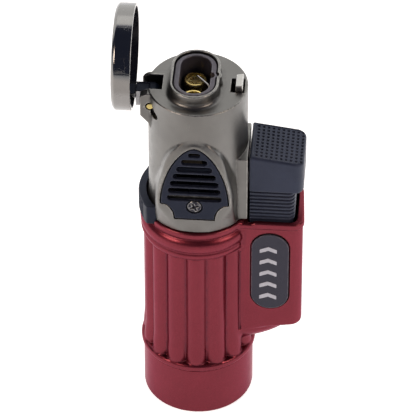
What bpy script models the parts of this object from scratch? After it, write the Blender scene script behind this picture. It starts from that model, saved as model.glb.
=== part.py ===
"""Refillable twin-flame butane torch, modelled as an assembly of separate parts.

Frame: the origin is on the body's axis, at the flat face of the base. +Z runs up
the body, +X points to the trigger housing, -Y is the front with the vented cover,
and the lid is hinged at -X. The lid stands open. Sizes are in millimetres and are
turned into metres where a mesh is made.
"""

import math

import bmesh
import bpy
from mathutils import Matrix, Vector

MM = 0.001
CLEARANCE = 0.3            # gap left between neighbouring pieces

# Red body casting
BASE_RADIUS = 15.5
RING_RADIUS = 16.2
RING_BOTTOM = 16.4
RING_TOP = 18.5
CORE_RADIUS = 14.5
REED_RADIUS = 15.4
REED_COUNT = 15              # spaces round the grip; the one inside the housing has no rib
REED_PHASE = 31.7            # first rib, degrees from +X
REED_TOP = 57.9
BEAD_RADIUS = 16.1
BEAD_TOP = 65.4
LIP_RADIUS = 15.3
SEAM = 67.5
BORE_RADIUS = 13.1

# Trigger housing on the body's right
HOUSING_X = 30.1
HOUSING_TAPER = 1.2          # how much less the housing reaches at its rear side
HOUSING_HALF_WIDTH = 9.2
HOUSING_TOP = 67.0
HOUSING_FOOT = 27.0
HOUSING_FOOT_RISE = 3.0
POCKET_X = (14.3, 27.8)
POCKET_HALF_WIDTH = 7.85
POCKET_FLOOR = 38.0
PLATE_CENTRE = (20.65, 49.9)
PLATE_SIZE = (10.4, 27.4)

# Grey head
HEAD_RADIUS = 13.65
HEAD_WALL = 1.75
SKIRT_RADIUS = 14.5
DECK = 109.0
DECK_THICKNESS = 2.0
SPIGOT_RADIUS = 12.7
SPIGOT_BOTTOM = 62.5
SADDLE_X = 14.2
SADDLE_HALF_WIDTH = 8.0
SADDLE_TOP = 89.4
BOSS_FRONT = -14.2

# Burner collar and what is inside it
COLLAR_CENTRE_X = -0.75
COLLAR_SIZE = (13.4, 20.8)
COLLAR_BORE = (11.9, 19.2)
COLLAR_TOP = 112.6
GUARD_SIZE = (11.4, 18.3)
GUARD_BORE = (8.3, 15.8)
GUARD_FLOOR = 103.0
GUARD_TOP = 112.3
BURNER_X = -1.0
BURNER_Y = 3.85
BURNER_RADIUS = 3.1
BURNER_BORE = 2.5
BURNER_FOOT = 90.3
BURNER_TIP = 107.5
ELECTRODE_X = 3.3

# Vented cover on the head's front
COVER_BOTTOM = 72.6
COVER_CORNER = 77.9
COVER_APEX = 97.4
COVER_HALF_WIDTH = 9.2
COVER_FOOT_HALF_WIDTH = 5.4
COVER_THICKNESS = 1.2
SLOT_COUNT = 7
SLOT_HEIGHT = 1.9
SLOT_PITCH = 2.57
TOP_SLOT = 95.4
SLOT_MARGIN = 1.6
SCREW_Z = 76.9

# Lid, its arm and the hinge
PIN_X = -12.7
PIN_Z = 104.65
PIN_RADIUS = 0.95
LUG_HALF_WIDTH = 5.4         # to the front
LUG_REAR_WIDTH = 4.4
LUG_X = -15.45
HINGE_SLOT_HALF_WIDTH = 3.0
HINGE_SLOT_X = -9.7
HINGE_SLOT_FLOOR = 101.7
ARM_HALF_WIDTH = 2.1
KNUCKLE_RADIUS = 2.6
LID_RADIUS = 14.65
LID_BOTTOM = 109.15
LID_TOP = 114.4
LID_WALL = 0.9
LID_CHAMFER = 0.8

# Trigger button
BUTTON_X = (14.6, 29.5)
BUTTON_HALF_WIDTH = 7.8
BUTTON_BOTTOM = 77.7
BUTTON_TOP_INNER = 90.2
BUTTON_TOP_OUTER = 88.0
STEM_X = (14.7, 27.2)
STEM_HALF_WIDTH = 7.5
STEM_BOTTOM = 57.5
RIB_PITCH = 1.7
RIB_COUNT = 7
TAB_BOTTOM = 80.0

# Flame lever, a segment of a ring in the seam
LEVER_INNER = 14.3
LEVER_OUTER = 16.5
LEVER_BOTTOM = 65.8
LEVER_TOP = 72.0
LEVER_END = 9.5            # half length of the ring segment, along Y
LEVER_TRAVEL = 25.0
WEB_BOTTOM = 66.2
WEB_TOP = 67.2

# Fuel system
TANK_RADIUS = 12.5
TANK_WALL = 1.2
TANK_BOTTOM = 3.0
TANK_TOP = 56.0
TANK_FLAT_X = 11.0
COVER_DISC_THICKNESS = 1.5
FILLER_X = 6.5
BASE_SCREW_X = -7.0
VALVE_TOP = 70.5
ROCKER_PIVOT = (4.2, 72.2)
ROCKER_TIP = 10.8
HOSE_RADIUS = 1.0

# Spark unit
PIEZO_X = 21.0
PIEZO_SIZE = (9.0, 6.0)
PIEZO_BOTTOM = 38.4
PIEZO_TOP = 54.0
PLUNGER_TOP = 61.0

# Chassis inside the head
CHASSIS_RADIUS = 11.5
CHASSIS_FLOOR = 68.0
CHASSIS_FLOOR_TOP = 69.5
BRIDGE_BOTTOM = 84.0
BRIDGE_TOP = 85.5

ROUND = 40                 # sides of a large round
SMALL_ROUND = 16           # sides of a small round


def clear_scene():
    for item in list(bpy.data.objects):
        bpy.data.objects.remove(item, do_unlink=True)


def collection(name):
    group = bpy.data.collections.new(name)
    bpy.context.scene.collection.children.link(group)
    return group


def material(name, colour, roughness, metallic=0.0):
    made = bpy.data.materials.new(name)
    made.use_nodes = True
    shader = made.node_tree.nodes["Principled BSDF"]
    shader.inputs["Base Color"].default_value = (*colour, 1.0)
    shader.inputs["Roughness"].default_value = roughness
    shader.inputs["Metallic"].default_value = metallic
    made.diffuse_color = (*colour, 1.0)
    return made


def point(x, y, z):
    return Vector((x, y, z)) * MM


def mesh_object(name, bm, group, finish=None):
    """Turn a bmesh into an object in the given collection."""
    bmesh.ops.recalc_face_normals(bm, faces=bm.faces)
    mesh = bpy.data.meshes.new(name)
    bm.to_mesh(mesh)
    bm.free()
    made = bpy.data.objects.new(name, mesh)
    group.objects.link(made)
    if finish is not None:
        mesh.materials.append(finish)
    return made


def smooth(made, angle=40.0):
    made.data.shade_smooth()
    made.data.set_sharp_from_angle(angle=math.radians(angle))
    return made


def box(name, low, high, group, finish=None, bevel=0.0, steps=2):
    """A box between two corners, with its edges rounded if bevel is given."""
    bm = bmesh.new()
    bmesh.ops.create_cube(bm, size=1.0)
    size = (point(*high) - point(*low))
    centre = (point(*high) + point(*low)) / 2
    bmesh.ops.scale(bm, vec=size, verts=bm.verts)
    bmesh.ops.translate(bm, vec=centre, verts=bm.verts)
    made = mesh_object(name, bm, group, finish)
    if bevel:
        round_edges(made, bevel, steps)
    return made


def cylinder(name, radius, start, end, group, finish=None, sides=SMALL_ROUND):
    """A cylinder between two points."""
    start = point(*start)
    end = point(*end)
    run = end - start
    bm = bmesh.new()
    bmesh.ops.create_cone(
        bm, cap_ends=True, segments=sides, radius1=radius * MM, radius2=radius * MM, depth=run.length,
    )
    turn = Vector((0, 0, 1)).rotation_difference(run).to_matrix().to_4x4()
    bmesh.ops.transform(bm, matrix=Matrix.Translation((start + end) / 2) @ turn, verts=bm.verts)
    return smooth(mesh_object(name, bm, group, finish))


def turned(name, profile, group, finish=None, sides=ROUND, centre=(0.0, 0.0)):
    """A solid turned about a vertical axis, from (radius, height) points that run
    down the outside. A profile that doesn't start on the axis is closed as a ring."""
    bm = bmesh.new()
    corners = [bm.verts.new(point(radius, 0, height)) for radius, height in profile]
    for first, second in zip(corners, corners[1:]):
        bm.edges.new((first, second))
    if profile[0][0] > 0:
        bm.edges.new((corners[-1], corners[0]))
    mesh = bpy.data.meshes.new(name)
    bm.to_mesh(mesh)
    bm.free()
    made = bpy.data.objects.new(name, mesh)
    group.objects.link(made)
    if finish is not None:
        mesh.materials.append(finish)
    made.location = point(centre[0], centre[1], 0)
    screw = made.modifiers.new("Screw", "SCREW")
    screw.angle = math.tau
    screw.steps = sides
    screw.render_steps = sides
    screw.use_merge_vertices = True
    screw.merge_threshold = 1e-6
    screw.use_smooth_shade = True
    return made


def outline_plate(name, outline, low, high, group, finish=None, facing="Z"):
    """A flat outline of (u, v) points made solid between two levels. Facing Z uses
    (x, y) points, facing Y uses (x, z) points."""
    curve = bpy.data.curves.new(name, "CURVE")
    curve.dimensions = "2D"
    curve.fill_mode = "BOTH"
    curve.extrude = (high - low) / 2 * MM
    spline = curve.splines.new("POLY")
    spline.points.add(len(outline) - 1)
    for corner, (u, v) in zip(spline.points, outline):
        corner.co = (u * MM, v * MM, 0, 1)
    spline.use_cyclic_u = True
    drawn = bpy.data.objects.new(name, curve)
    group.objects.link(drawn)
    middle = (low + high) / 2 * MM
    if facing == "Z":
        drawn.matrix_world = Matrix.Translation((0, 0, middle))
    else:
        drawn.matrix_world = Matrix.Translation((0, middle, 0)) @ Matrix.Rotation(math.pi / 2, 4, "X")
    return curve_to_mesh(drawn, name, group, finish)


def curve_to_mesh(drawn, name, group, finish=None):
    """Replace a curve object by a welded mesh object with its own place kept."""
    bpy.context.view_layer.update()
    graph = bpy.context.evaluated_depsgraph_get()
    mesh = bpy.data.meshes.new_from_object(drawn.evaluated_get(graph))
    bm = bmesh.new()
    bm.from_mesh(mesh)
    bmesh.ops.remove_doubles(bm, verts=bm.verts, dist=1e-6)
    bmesh.ops.dissolve_limit(
        bm, angle_limit=math.radians(0.5), verts=bm.verts, edges=bm.edges, delimit={"NORMAL"},
    )
    bmesh.ops.recalc_face_normals(bm, faces=bm.faces)
    bm.to_mesh(mesh)
    bm.free()
    place = drawn.matrix_world.copy()
    bpy.data.objects.remove(drawn, do_unlink=True)
    mesh.materials.clear()
    if finish is not None:
        mesh.materials.append(finish)
    made = bpy.data.objects.new(name, mesh)
    made.matrix_world = place
    group.objects.link(made)
    return smooth(made)


def wire(name, points, radius, group, finish, resolution=2):
    """A round wire or hose along a list of points."""
    curve = bpy.data.curves.new(name, "CURVE")
    curve.dimensions = "3D"
    curve.bevel_depth = radius * MM
    curve.bevel_resolution = resolution
    curve.use_fill_caps = True
    spline = curve.splines.new("POLY")
    spline.points.add(len(points) - 1)
    for corner, place in zip(spline.points, points):
        corner.co = (*point(*place), 1)
    curve.materials.append(finish)
    made = bpy.data.objects.new(name, curve)
    group.objects.link(made)
    return made


def smooth_path(anchors, steps):
    """Points along a Catmull-Rom curve through the anchors."""
    ends = [anchors[0], *anchors, anchors[-1]]
    places = [Vector(anchor) for anchor in ends]
    path = []
    for index in range(len(anchors) - 1):
        before, start, end, after = places[index:index + 4]
        for step in range(steps):
            t = step / steps
            path.append(0.5 * (
                2 * start + (end - before) * t
                + (2 * before - 5 * start + 4 * end - after) * t ** 2
                + (3 * start - before - 3 * end + after) * t ** 3
            ))
    path.append(places[-1])
    return [tuple(place) for place in path]


def coil(radius, turns, start, length, axis="Z", per_turn=9):
    """Points of a coil spring of the given centre-line radius."""
    count = int(turns * per_turn)
    places = []
    for step in range(count + 1):
        angle = math.tau * step / per_turn
        u = radius * math.cos(angle)
        v = radius * math.sin(angle)
        along = length * step / count
        offset = {"Z": (u, v, along), "X": (along, u, v), "Y": (u, along, v)}[axis]
        places.append(tuple(base + move for base, move in zip(start, offset)))
    return places


def rounded_rectangle(low, high, radii, steps=4):
    """Outline of a rectangle whose corners, from low-low anticlockwise, have their
    own radii."""
    corners = [
        (low[0], low[1], 1, 1, 180), (high[0], low[1], -1, 1, 270),
        (high[0], high[1], -1, -1, 0), (low[0], high[1], 1, -1, 90),
    ]
    outline = []
    for (u, v, su, sv, first), radius in zip(corners, radii):
        if radius == 0:
            outline.append((u, v))
            continue
        for step in range(steps + 1):
            angle = math.radians(first + 90 * step / steps)
            outline.append((
                u + su * radius + radius * math.cos(angle), v + sv * radius + radius * math.sin(angle),
            ))
    return outline


def stadium(centre, size, steps=8):
    """Outline of a stadium whose long side runs along the second axis."""
    radius = size[0] / 2
    half = size[1] / 2 - radius
    outline = []
    for sign, first in ((1, 0), (-1, 180)):
        for step in range(steps + 1):
            angle = math.radians(first + 180 * step / steps)
            outline.append((
                centre[0] + radius * math.cos(angle), centre[1] + sign * half + radius * math.sin(angle),
            ))
    return outline


def sector(inner, outer, first, last, steps):
    """Outline of a ring segment between two angles in degrees."""
    outline = []
    for radius, start, end in ((outer, first, last), (inner, last, first)):
        for step in range(steps + 1):
            angle = math.radians(start + (end - start) * step / steps)
            outline.append((radius * math.cos(angle), radius * math.sin(angle)))
    return outline


def lever_room(inner):
    """Plan of the space that the flame lever's ring sweeps, outside the given radius."""
    front = LEVER_END + CLEARANCE
    last = 180 + math.degrees(math.asin(front / inner))
    first = 180 - math.degrees(math.asin(LEVER_END / LEVER_INNER)) - LEVER_TRAVEL - 2
    arc = []
    for step in range(13):
        angle = math.radians(last + (first - last) * step / 12)
        arc.append((inner * math.cos(angle), inner * math.sin(angle)))
    reach = LEVER_OUTER + 3
    angle = math.radians(first)
    return [(reach * math.cos(angle), reach * math.sin(angle)), (-reach, reach), (-reach, -front)] + arc


def lever_ring():
    """Plan of the flame lever's ring segment, with both ends cut square to Y."""
    outline = []
    for radius, way in ((LEVER_OUTER, 1), (LEVER_INNER, -1)):
        half = math.asin(LEVER_END / radius)
        for step in range(11):
            angle = math.pi + way * half * (step / 5 - 1)
            outline.append((radius * math.cos(angle), radius * math.sin(angle)))
    return outline


def arch_side(half, corner, apex, steps=9):
    """Right side of an arch, from its lower corner to just short of the apex."""
    side = []
    for step in range(steps):
        rise = math.sin(math.pi / 2 * step / steps)
        side.append((half * (1 - rise ** 1.8) ** 0.6, corner + (apex - corner) * rise))
    return side


def mirrored(side, tip):
    """A closed outline from its right side, read upward, and the point on top."""
    return side + [tip] + [(-x, z) for x, z in reversed(side)]


def cover_outline(grow=0.0):
    """The vented cover as (x, z) points: an arch on two scalloped lower corners."""
    half = COVER_HALF_WIDTH + grow
    foot = COVER_FOOT_HALF_WIDTH + grow * 0.6
    bottom = COVER_BOTTOM - grow
    corner = COVER_CORNER - grow * 0.5
    scallop = []
    for step in range(5):
        angle = math.pi / 2 * step / 5
        scallop.append((
            foot + (half - foot) * (1 - math.cos(angle)), bottom + (corner - bottom) * math.sin(angle),
        ))
    apex = COVER_APEX + grow
    return mirrored(scallop + arch_side(half, corner, apex), (0.0, apex))


def cover_half_width(height):
    """Half width of the cover at a height above its corners."""
    rise = (height - COVER_CORNER) / (COVER_APEX - COVER_CORNER)
    return COVER_HALF_WIDTH * (1 - rise ** 1.8) ** 0.6


def loft(name, rings, group, finish=None):
    """A closed solid through rings of equal point counts, with flat ends."""
    bm = bmesh.new()
    made_rings = [[bm.verts.new(point(*place)) for place in ring] for ring in rings]
    for lower, upper in zip(made_rings, made_rings[1:]):
        for index in range(len(lower)):
            after = (index + 1) % len(lower)
            bm.faces.new((lower[index], lower[after], upper[after], upper[index]))
    bm.faces.new(made_rings[0])
    bm.faces.new(made_rings[-1])
    return mesh_object(name, bm, group, finish)


def join(made, other, cutters):
    """Union another solid into a part."""
    apply_boolean(made, other, "UNION", cutters)


def cut(made, cutter, cutters):
    """Cut a part with a solid."""
    apply_boolean(made, cutter, "DIFFERENCE", cutters)


def keep_inside(made, other, cutters):
    apply_boolean(made, other, "INTERSECT", cutters)


def apply_boolean(made, tool, operation, cutters):
    modifier = made.modifiers.new(f"{operation.title()} {tool.name}"[:60], "BOOLEAN")
    modifier.operation = operation
    modifier.solver = "EXACT"
    modifier.object = tool
    tool.hide_render = True
    tool.display_type = "WIRE"
    for group in list(tool.users_collection):
        group.objects.unlink(tool)
    cutters.objects.link(tool)


def round_edges(made, width, steps=2, angle=30.0):
    bevel = made.modifiers.new("Bevel", "BEVEL")
    bevel.width = width * MM
    bevel.segments = steps
    bevel.limit_method = "ANGLE"
    bevel.angle_limit = math.radians(angle)
    return made


def with_tools(part):
    """A part and every solid that its Booleans use, which have to move with it."""
    members = [part]
    for modifier in part.modifiers:
        if modifier.type == "BOOLEAN":
            members += with_tools(modifier.object)
    return members


def pivot(name, place, parts, group):
    """An empty on a joint's axis that carries the moving parts."""
    empty = bpy.data.objects.new(name, None)
    empty.location = point(*place)
    empty.empty_display_size = 0.01
    group.objects.link(empty)
    bpy.context.view_layer.update()
    for part in parts:
        for member in with_tools(part):
            member.parent = empty
            member.matrix_parent_inverse = empty.matrix_world.inverted()
    return empty


def finishes():
    return {
        "red": material("red_metallic_paint", (0.30, 0.02, 0.03), 0.35, 0.6),
        "gunmetal": material("gunmetal", (0.26, 0.25, 0.23), 0.38, 1.0),
        "mirror_gunmetal": material("polished_gunmetal", (0.33, 0.32, 0.31), 0.12, 1.0),
        "dark_metal": material("dark_metal", (0.09, 0.085, 0.09), 0.42, 1.0),
        "black_plastic": material("black_plastic", (0.045, 0.045, 0.06), 0.5),
        "plate": material("name_plate_black", (0.02, 0.025, 0.035), 0.3),
        "brass": material("brass", (0.62, 0.44, 0.12), 0.25, 1.0),
        "steel": material("bright_steel", (0.6, 0.6, 0.6), 0.25, 1.0),
        "spring": material("spring_steel", (0.42, 0.42, 0.43), 0.3, 1.0),
        "tank": material("smoked_plastic", (0.35, 0.33, 0.28), 0.25),
        "grey_plastic": material("grey_plastic", (0.22, 0.22, 0.23), 0.5),
        "rubber": material("black_rubber", (0.02, 0.02, 0.02), 0.7),
        "ceramic": material("white_ceramic", (0.8, 0.78, 0.72), 0.3),
        "lead": material("red_lead", (0.5, 0.03, 0.02), 0.45),
    }


def body_profile():
    """Outside of the body from the rim down to the base, without the reeds."""
    profile = [(0.0, SEAM), (LIP_RADIUS - 0.4, SEAM), (LIP_RADIUS, SEAM - 0.4), (LIP_RADIUS, SEAM - 1.2),
               (LIP_RADIUS - 0.4, SEAM - 1.7)]
    middle = (BEAD_TOP + REED_TOP + 0.6) / 2
    half = (BEAD_TOP - REED_TOP - 0.6) / 2
    for step in range(1, 7):
        angle = math.pi / 2 - math.pi * step / 7
        profile.append((BEAD_RADIUS - 1.0 + math.cos(angle), middle + half * math.sin(angle)))
    profile += [(CORE_RADIUS, REED_TOP), (CORE_RADIUS, RING_TOP)]
    for step in range(5):
        angle = math.pi / 2 - math.pi * step / 4
        profile.append((
            RING_RADIUS - 0.9 + 0.9 * math.cos(angle),
            (RING_TOP + RING_BOTTOM) / 2 + 0.95 * math.sin(angle),
        ))
    profile += [(BASE_RADIUS, RING_BOTTOM - 0.4), (BASE_RADIUS, 0.8), (BASE_RADIUS - 0.25, 0.2),
                (BASE_RADIUS - 0.8, 0.0), (0.0, 0.0)]
    return profile


def reeds(name, first, cutters):
    """Every second upright rib of the grip, as one set that doesn't touch itself."""
    rib_radius = 3.0
    sides = 12
    centre = REED_RADIUS - rib_radius
    bm = bmesh.new()
    for index in range(first, REED_COUNT - 1, 2):
        angle = math.radians(REED_PHASE) + math.tau * index / REED_COUNT
        rib = bmesh.ops.create_cone(
            bm, cap_ends=True, segments=sides, radius1=rib_radius * MM, radius2=rib_radius * MM,
            depth=(REED_TOP - RING_TOP + 1.2) * MM,
        )["verts"]
        bmesh.ops.rotate(bm, cent=(0, 0, 0), matrix=Matrix.Rotation(angle, 3, "Z"), verts=rib)
        place = (centre * math.cos(angle), centre * math.sin(angle), (REED_TOP + RING_TOP) / 2)
        bmesh.ops.translate(bm, vec=point(*place), verts=rib)
    return mesh_object(name, bm, cutters)


def make_body(parts, cutters, look):
    body = turned("body_casting", body_profile(), parts, look["red"])
    join(body, reeds("even_reeds", 0, cutters), cutters)
    join(body, reeds("odd_reeds", 1, cutters), cutters)
    side = rounded_rectangle((8.0, HOUSING_FOOT), (HOUSING_X, HOUSING_TOP), (0, 3.6, 0.8, 0), 4)
    lean = HOUSING_FOOT_RISE / (HOUSING_X - 12.5)
    side = [(x, z + (max(0.0, x - 12.5) * lean if z < 45 else 0.0)) for x, z in side]
    width = HOUSING_HALF_WIDTH
    housing = outline_plate("housing", side, -width, width, cutters, facing="Y")
    plan = rounded_rectangle((6.0, -width), (HOUSING_X, width), (0, 3.4, 2.8, 0))
    plan = [(x - (HOUSING_TAPER * (y + width) / (2 * width) if x > 12.0 else 0.0), y) for x, y in plan]
    keep_inside(housing, outline_plate("housing_plan", plan, 10.0, 80.0, cutters), cutters)
    join(body, housing, cutters)
    bm = bmesh.new()
    bmesh.ops.create_uvsphere(bm, u_segments=24, v_segments=12, radius=1.0)
    bmesh.ops.scale(bm, vec=point(16.8, width - 0.05, 8.2), verts=bm.verts)
    bmesh.ops.rotate(bm, cent=(0, 0, 0), matrix=Matrix.Rotation(math.radians(-10), 3, "Y"), verts=bm.verts)
    bmesh.ops.translate(bm, vec=point(12.0, 0, HOUSING_FOOT + 0.6), verts=bm.verts)
    join(body, mesh_object("keel", bm, cutters), cutters)

    cut(body, cylinder("body_bore", BORE_RADIUS, (0, 0, -1), (0, 0, 80), cutters, sides=ROUND), cutters)
    pocket = rounded_rectangle(
        (POCKET_X[0], -POCKET_HALF_WIDTH), (POCKET_X[1], POCKET_HALF_WIDTH), (0, 1.8, 1.8, 0),
    )
    cut(body, outline_plate("trigger_pocket", pocket, POCKET_FLOOR, 80.0, cutters), cutters)
    cut(body, box("lead_window", (11.0, -1.2, 39.2), (15.0, 1.2, 41.8), cutters), cutters)
    notch = lever_room(LEVER_END + CLEARANCE)
    cut(body, outline_plate("lever_notch", notch, BEAD_TOP + 0.05, 75.0, cutters), cutters)
    recess = stadium(PLATE_CENTRE, (PLATE_SIZE[0] + 0.6, PLATE_SIZE[1] + 0.6))
    recess = outline_plate("plate_recess", recess, -width - 1.0, -width + 0.8, cutters, facing="Y")
    cut(body, recess, cutters)
    return body


def make_name_plate(parts, look):
    outline = stadium(PLATE_CENTRE, PLATE_SIZE)
    return outline_plate(
        "name_plate", outline, -HOUSING_HALF_WIDTH - 0.1, -HOUSING_HALF_WIDTH + 0.5, parts, look["plate"],
        facing="Y",
    )


def make_base(parts, cutters, look):
    """Cover of the base, its screw, the tank and the tank's cap."""
    cover = cylinder("bottom_cover", BORE_RADIUS - CLEARANCE, (0, 0, 0), (0, 0, COVER_DISC_THICKNESS),
                     parts, look["black_plastic"], sides=ROUND)
    cut(cover, cylinder("filler_opening", 2.6, (FILLER_X, 0, -1), (FILLER_X, 0, 3), cutters), cutters)
    cut(cover, cylinder("screw_opening", 1.3, (BASE_SCREW_X, 0, -1), (BASE_SCREW_X, 0, 3), cutters), cutters)
    cut(cover, cylinder("screw_seat", 2.4, (BASE_SCREW_X, 0, -1), (BASE_SCREW_X, 0, 0.9), cutters), cutters)

    screw = cylinder("base_screw", 2.0, (BASE_SCREW_X, 0, 0.1), (BASE_SCREW_X, 0, 0.6), parts, look["steel"])
    shank = cylinder("base_screw_shank", 1.0, (BASE_SCREW_X, 0, 0.5), (BASE_SCREW_X, 0, 7.5), cutters)
    join(screw, shank, cutters)
    cut(screw, cross("base_screw_cross", (BASE_SCREW_X, 0, 0.1), "Z", 1.3, 0.35, cutters), cutters)

    tank = turned("fuel_tank", [
        (3.3, TANK_TOP), (TANK_RADIUS - 0.6, TANK_TOP), (TANK_RADIUS, TANK_TOP - 0.6),
        (TANK_RADIUS, TANK_BOTTOM), (TANK_RADIUS - TANK_WALL, TANK_BOTTOM),
        (TANK_RADIUS - TANK_WALL, TANK_TOP - TANK_WALL), (3.3, TANK_TOP - TANK_WALL),
    ], parts, look["tank"])
    flat_side = box("tank_flat", (TANK_FLAT_X - TANK_WALL, -5.85, TANK_BOTTOM + 0.1),
                    (TANK_FLAT_X + 4.0, 5.85, TANK_TOP - 0.1), cutters)
    keep_tank = box("tank_limit", (-20, -20, 0), (TANK_FLAT_X, 20, 60), cutters)
    join(tank, flat_side, cutters)
    keep_inside(tank, keep_tank, cutters)

    cap_radius = TANK_RADIUS - TANK_WALL - CLEARANCE
    cap = cylinder("tank_cap", cap_radius, (0, 0, TANK_BOTTOM), (0, 0, TANK_BOTTOM + 2.0), parts,
                   look["grey_plastic"], sides=ROUND)
    join(cap, cylinder("cap_boss", 2.2, (BASE_SCREW_X, 0, 4.0), (BASE_SCREW_X, 0, 9.0), cutters), cutters)
    cap_limit = TANK_FLAT_X - TANK_WALL - CLEARANCE
    keep_inside(cap, box("cap_limit", (-20, -20, 0), (cap_limit, 20, 30), cutters), cutters)
    cut(cap, cylinder("cap_filler_hole", 2.5, (FILLER_X, 0, 0), (FILLER_X, 0, 20), cutters), cutters)
    cut(cap, cylinder("cap_screw_hole", 1.3, (BASE_SCREW_X, 0, 0), (BASE_SCREW_X, 0, 8.0), cutters), cutters)
    return [cover, screw, tank, cap]


def cross(name, place, axis, reach, depth, cutters):
    """Cutter for the cross recess of a screw whose head faces down an axis."""
    x, y, z = place
    arm = 0.32
    if axis == "Z":
        first = box(name, (x - reach, y - arm, z - 1.0), (x + reach, y + arm, z + depth), cutters)
        second = box(name + "_b", (x - arm, y - reach, z - 1.0), (x + arm, y + reach, z + depth), cutters)
    else:
        first = box(name, (x - reach, y - 1.0, z - arm), (x + reach, y + depth, z + arm), cutters)
        second = box(name + "_b", (x - arm, y - 1.0, z - reach), (x + arm, y + depth, z + reach), cutters)
    join(first, second, cutters)
    return first


def make_filler(parts, look):
    centre = (FILLER_X, 0.0)
    valve = turned("filler_valve", [
        (2.2, 12.0), (2.2, 0.6), (1.0, 0.6), (1.0, 4.0), (1.5, 4.0), (1.5, 12.0),
    ], parts, look["brass"], sides=SMALL_ROUND, centre=centre)
    stem = turned("filler_stem", [
        (0.0, 9.0), (0.7, 9.0), (0.7, 5.8), (1.2, 5.8), (1.2, 5.0), (0.7, 5.0), (0.7, 0.9), (0.0, 0.9),
    ], parts, look["steel"], sides=16, centre=centre)
    seal = turned("filler_seal", [
        (1.1, 4.75), (1.25, 4.6), (1.25, 4.4), (1.1, 4.25), (0.95, 4.4), (0.95, 4.6),
    ], parts, look["rubber"], sides=16, centre=centre)
    spring = wire("filler_spring", coil(1.05, 4, (FILLER_X, 0, 6.3), 5.2), 0.15, parts, look["spring"], 1)
    return valve, stem, seal, spring


def make_gas_valve(parts, cutters, look):
    valve = turned("gas_valve", [
        (2.7, VALVE_TOP), (2.7, 57.2), (4.6, 57.2), (4.6, 56.3), (3.0, 56.3), (3.0, 50.0), (1.7, 50.0),
        (1.7, 66.0), (0.9, 66.0), (0.9, VALVE_TOP),
    ], parts, look["brass"], sides=24)
    join(valve, cylinder("valve_nipple", 0.85, (0, 2.0, 61), (0, 4.0, 61), cutters), cutters)
    cut(valve, cylinder("valve_outlet", 0.4, (0, 0.5, 61), (0, 5.0, 61), cutters, sides=12), cutters)
    stem = turned("valve_stem", [
        (0.0, 74.0), (1.5, 74.0), (1.5, 73.0), (0.6, 73.0), (0.6, 56.2), (1.3, 56.2), (1.3, 55.2),
        (0.0, 55.2),
    ], parts, look["steel"], sides=16)
    spring = wire("valve_spring", coil(1.15, 5, (0, 0, 56.6), 9.0), 0.18, parts, look["spring"], 1)
    return valve, stem, spring


def make_rocker(parts, cutters, look):
    pivot_x, pivot_z = ROCKER_PIVOT
    outline = [
        (-0.6, 71.7), (pivot_x, 71.4), (ROCKER_TIP, 74.1), (ROCKER_TIP, 75.2), (pivot_x + 0.4, 73.1),
        (-0.6, 72.7),
    ]
    rocker = outline_plate("valve_rocker", outline, -1.4, 1.4, parts, look["steel"], facing="Y")
    hub = cylinder("rocker_hub", 1.6, (pivot_x, -1.4, pivot_z), (pivot_x, 1.4, pivot_z), cutters)
    join(rocker, hub, cutters)
    bore = cylinder("rocker_bore", 0.8, (pivot_x, -2, pivot_z), (pivot_x, 2, pivot_z), cutters)
    cut(rocker, bore, cutters)
    cut(rocker, box("rocker_fork", (-2.0, -0.9, 70.0), (1.0, 0.9, 74.0), cutters), cutters)
    pin = cylinder("rocker_pin", 0.5, (pivot_x, -2.8, pivot_z), (pivot_x, 2.8, pivot_z), parts, look["steel"],
                   sides=12)
    return rocker, pin


def make_chassis(parts, cutters, look):
    chassis = cylinder("chassis", CHASSIS_RADIUS, (0, 0, CHASSIS_FLOOR), (0, 0, CHASSIS_FLOOR_TOP), parts,
                       look["grey_plastic"], sides=ROUND)
    for side_x in (-1, 1):
        for side_y in (-1, 1):
            low = (side_x * 6.7 - 1.2, side_y * 6.7 - 1.2, CHASSIS_FLOOR + 0.5)
            high = (side_x * 6.7 + 1.2, side_y * 6.7 + 1.2, BRIDGE_TOP - 0.4)
            join(chassis, box(f"post_{side_x}_{side_y}", low, high, cutters), cutters)
    join(chassis, box("bridge", (-7.95, -7.95, BRIDGE_BOTTOM), (7.95, 7.95, BRIDGE_TOP), cutters), cutters)
    join(chassis, box("crossbar", (-7.5, -7.8, 75.3), (7.5, -5.6, 78.5), cutters), cutters)
    join(chassis, cylinder("screw_post", 2.3, (0, -11.2, SCREW_Z), (0, -6.0, SCREW_Z), cutters), cutters)
    pivot_x, pivot_z = ROCKER_PIVOT
    for side in (-1, 1):
        near, far = sorted((side * 1.7, side * 2.9))
        ear = box(f"ear_{side}", (pivot_x - 1.0, near, 69.0), (pivot_x + 1.0, far, pivot_z + 1.5), cutters)
        join(chassis, ear, cutters)
    bore = cylinder("ear_bore", 0.8, (pivot_x, -4, pivot_z), (pivot_x, 4, pivot_z), cutters, sides=12)
    cut(chassis, bore, cutters)
    cut(chassis, cylinder("screw_thread", 1.3, (0, -12, SCREW_Z), (0, -7.5, SCREW_Z), cutters), cutters)
    cut(chassis, cylinder("valve_hole", 3.05, (0, 0, 66), (0, 0, CHASSIS_FLOOR_TOP + 0.2), cutters), cutters)
    cut(chassis, cylinder("hose_hole", 1.5, (0, 8.5, 66), (0, 8.5, 71), cutters), cutters)
    cut(chassis, cylinder("lead_hole", 1.1, (9.6, 4.2, 66), (9.6, 4.2, 71), cutters), cutters)
    cut(chassis, cylinder("manifold_hole", 1.6, (BURNER_X, 0, 83), (BURNER_X, 0, 87), cutters), cutters)
    return chassis


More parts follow.
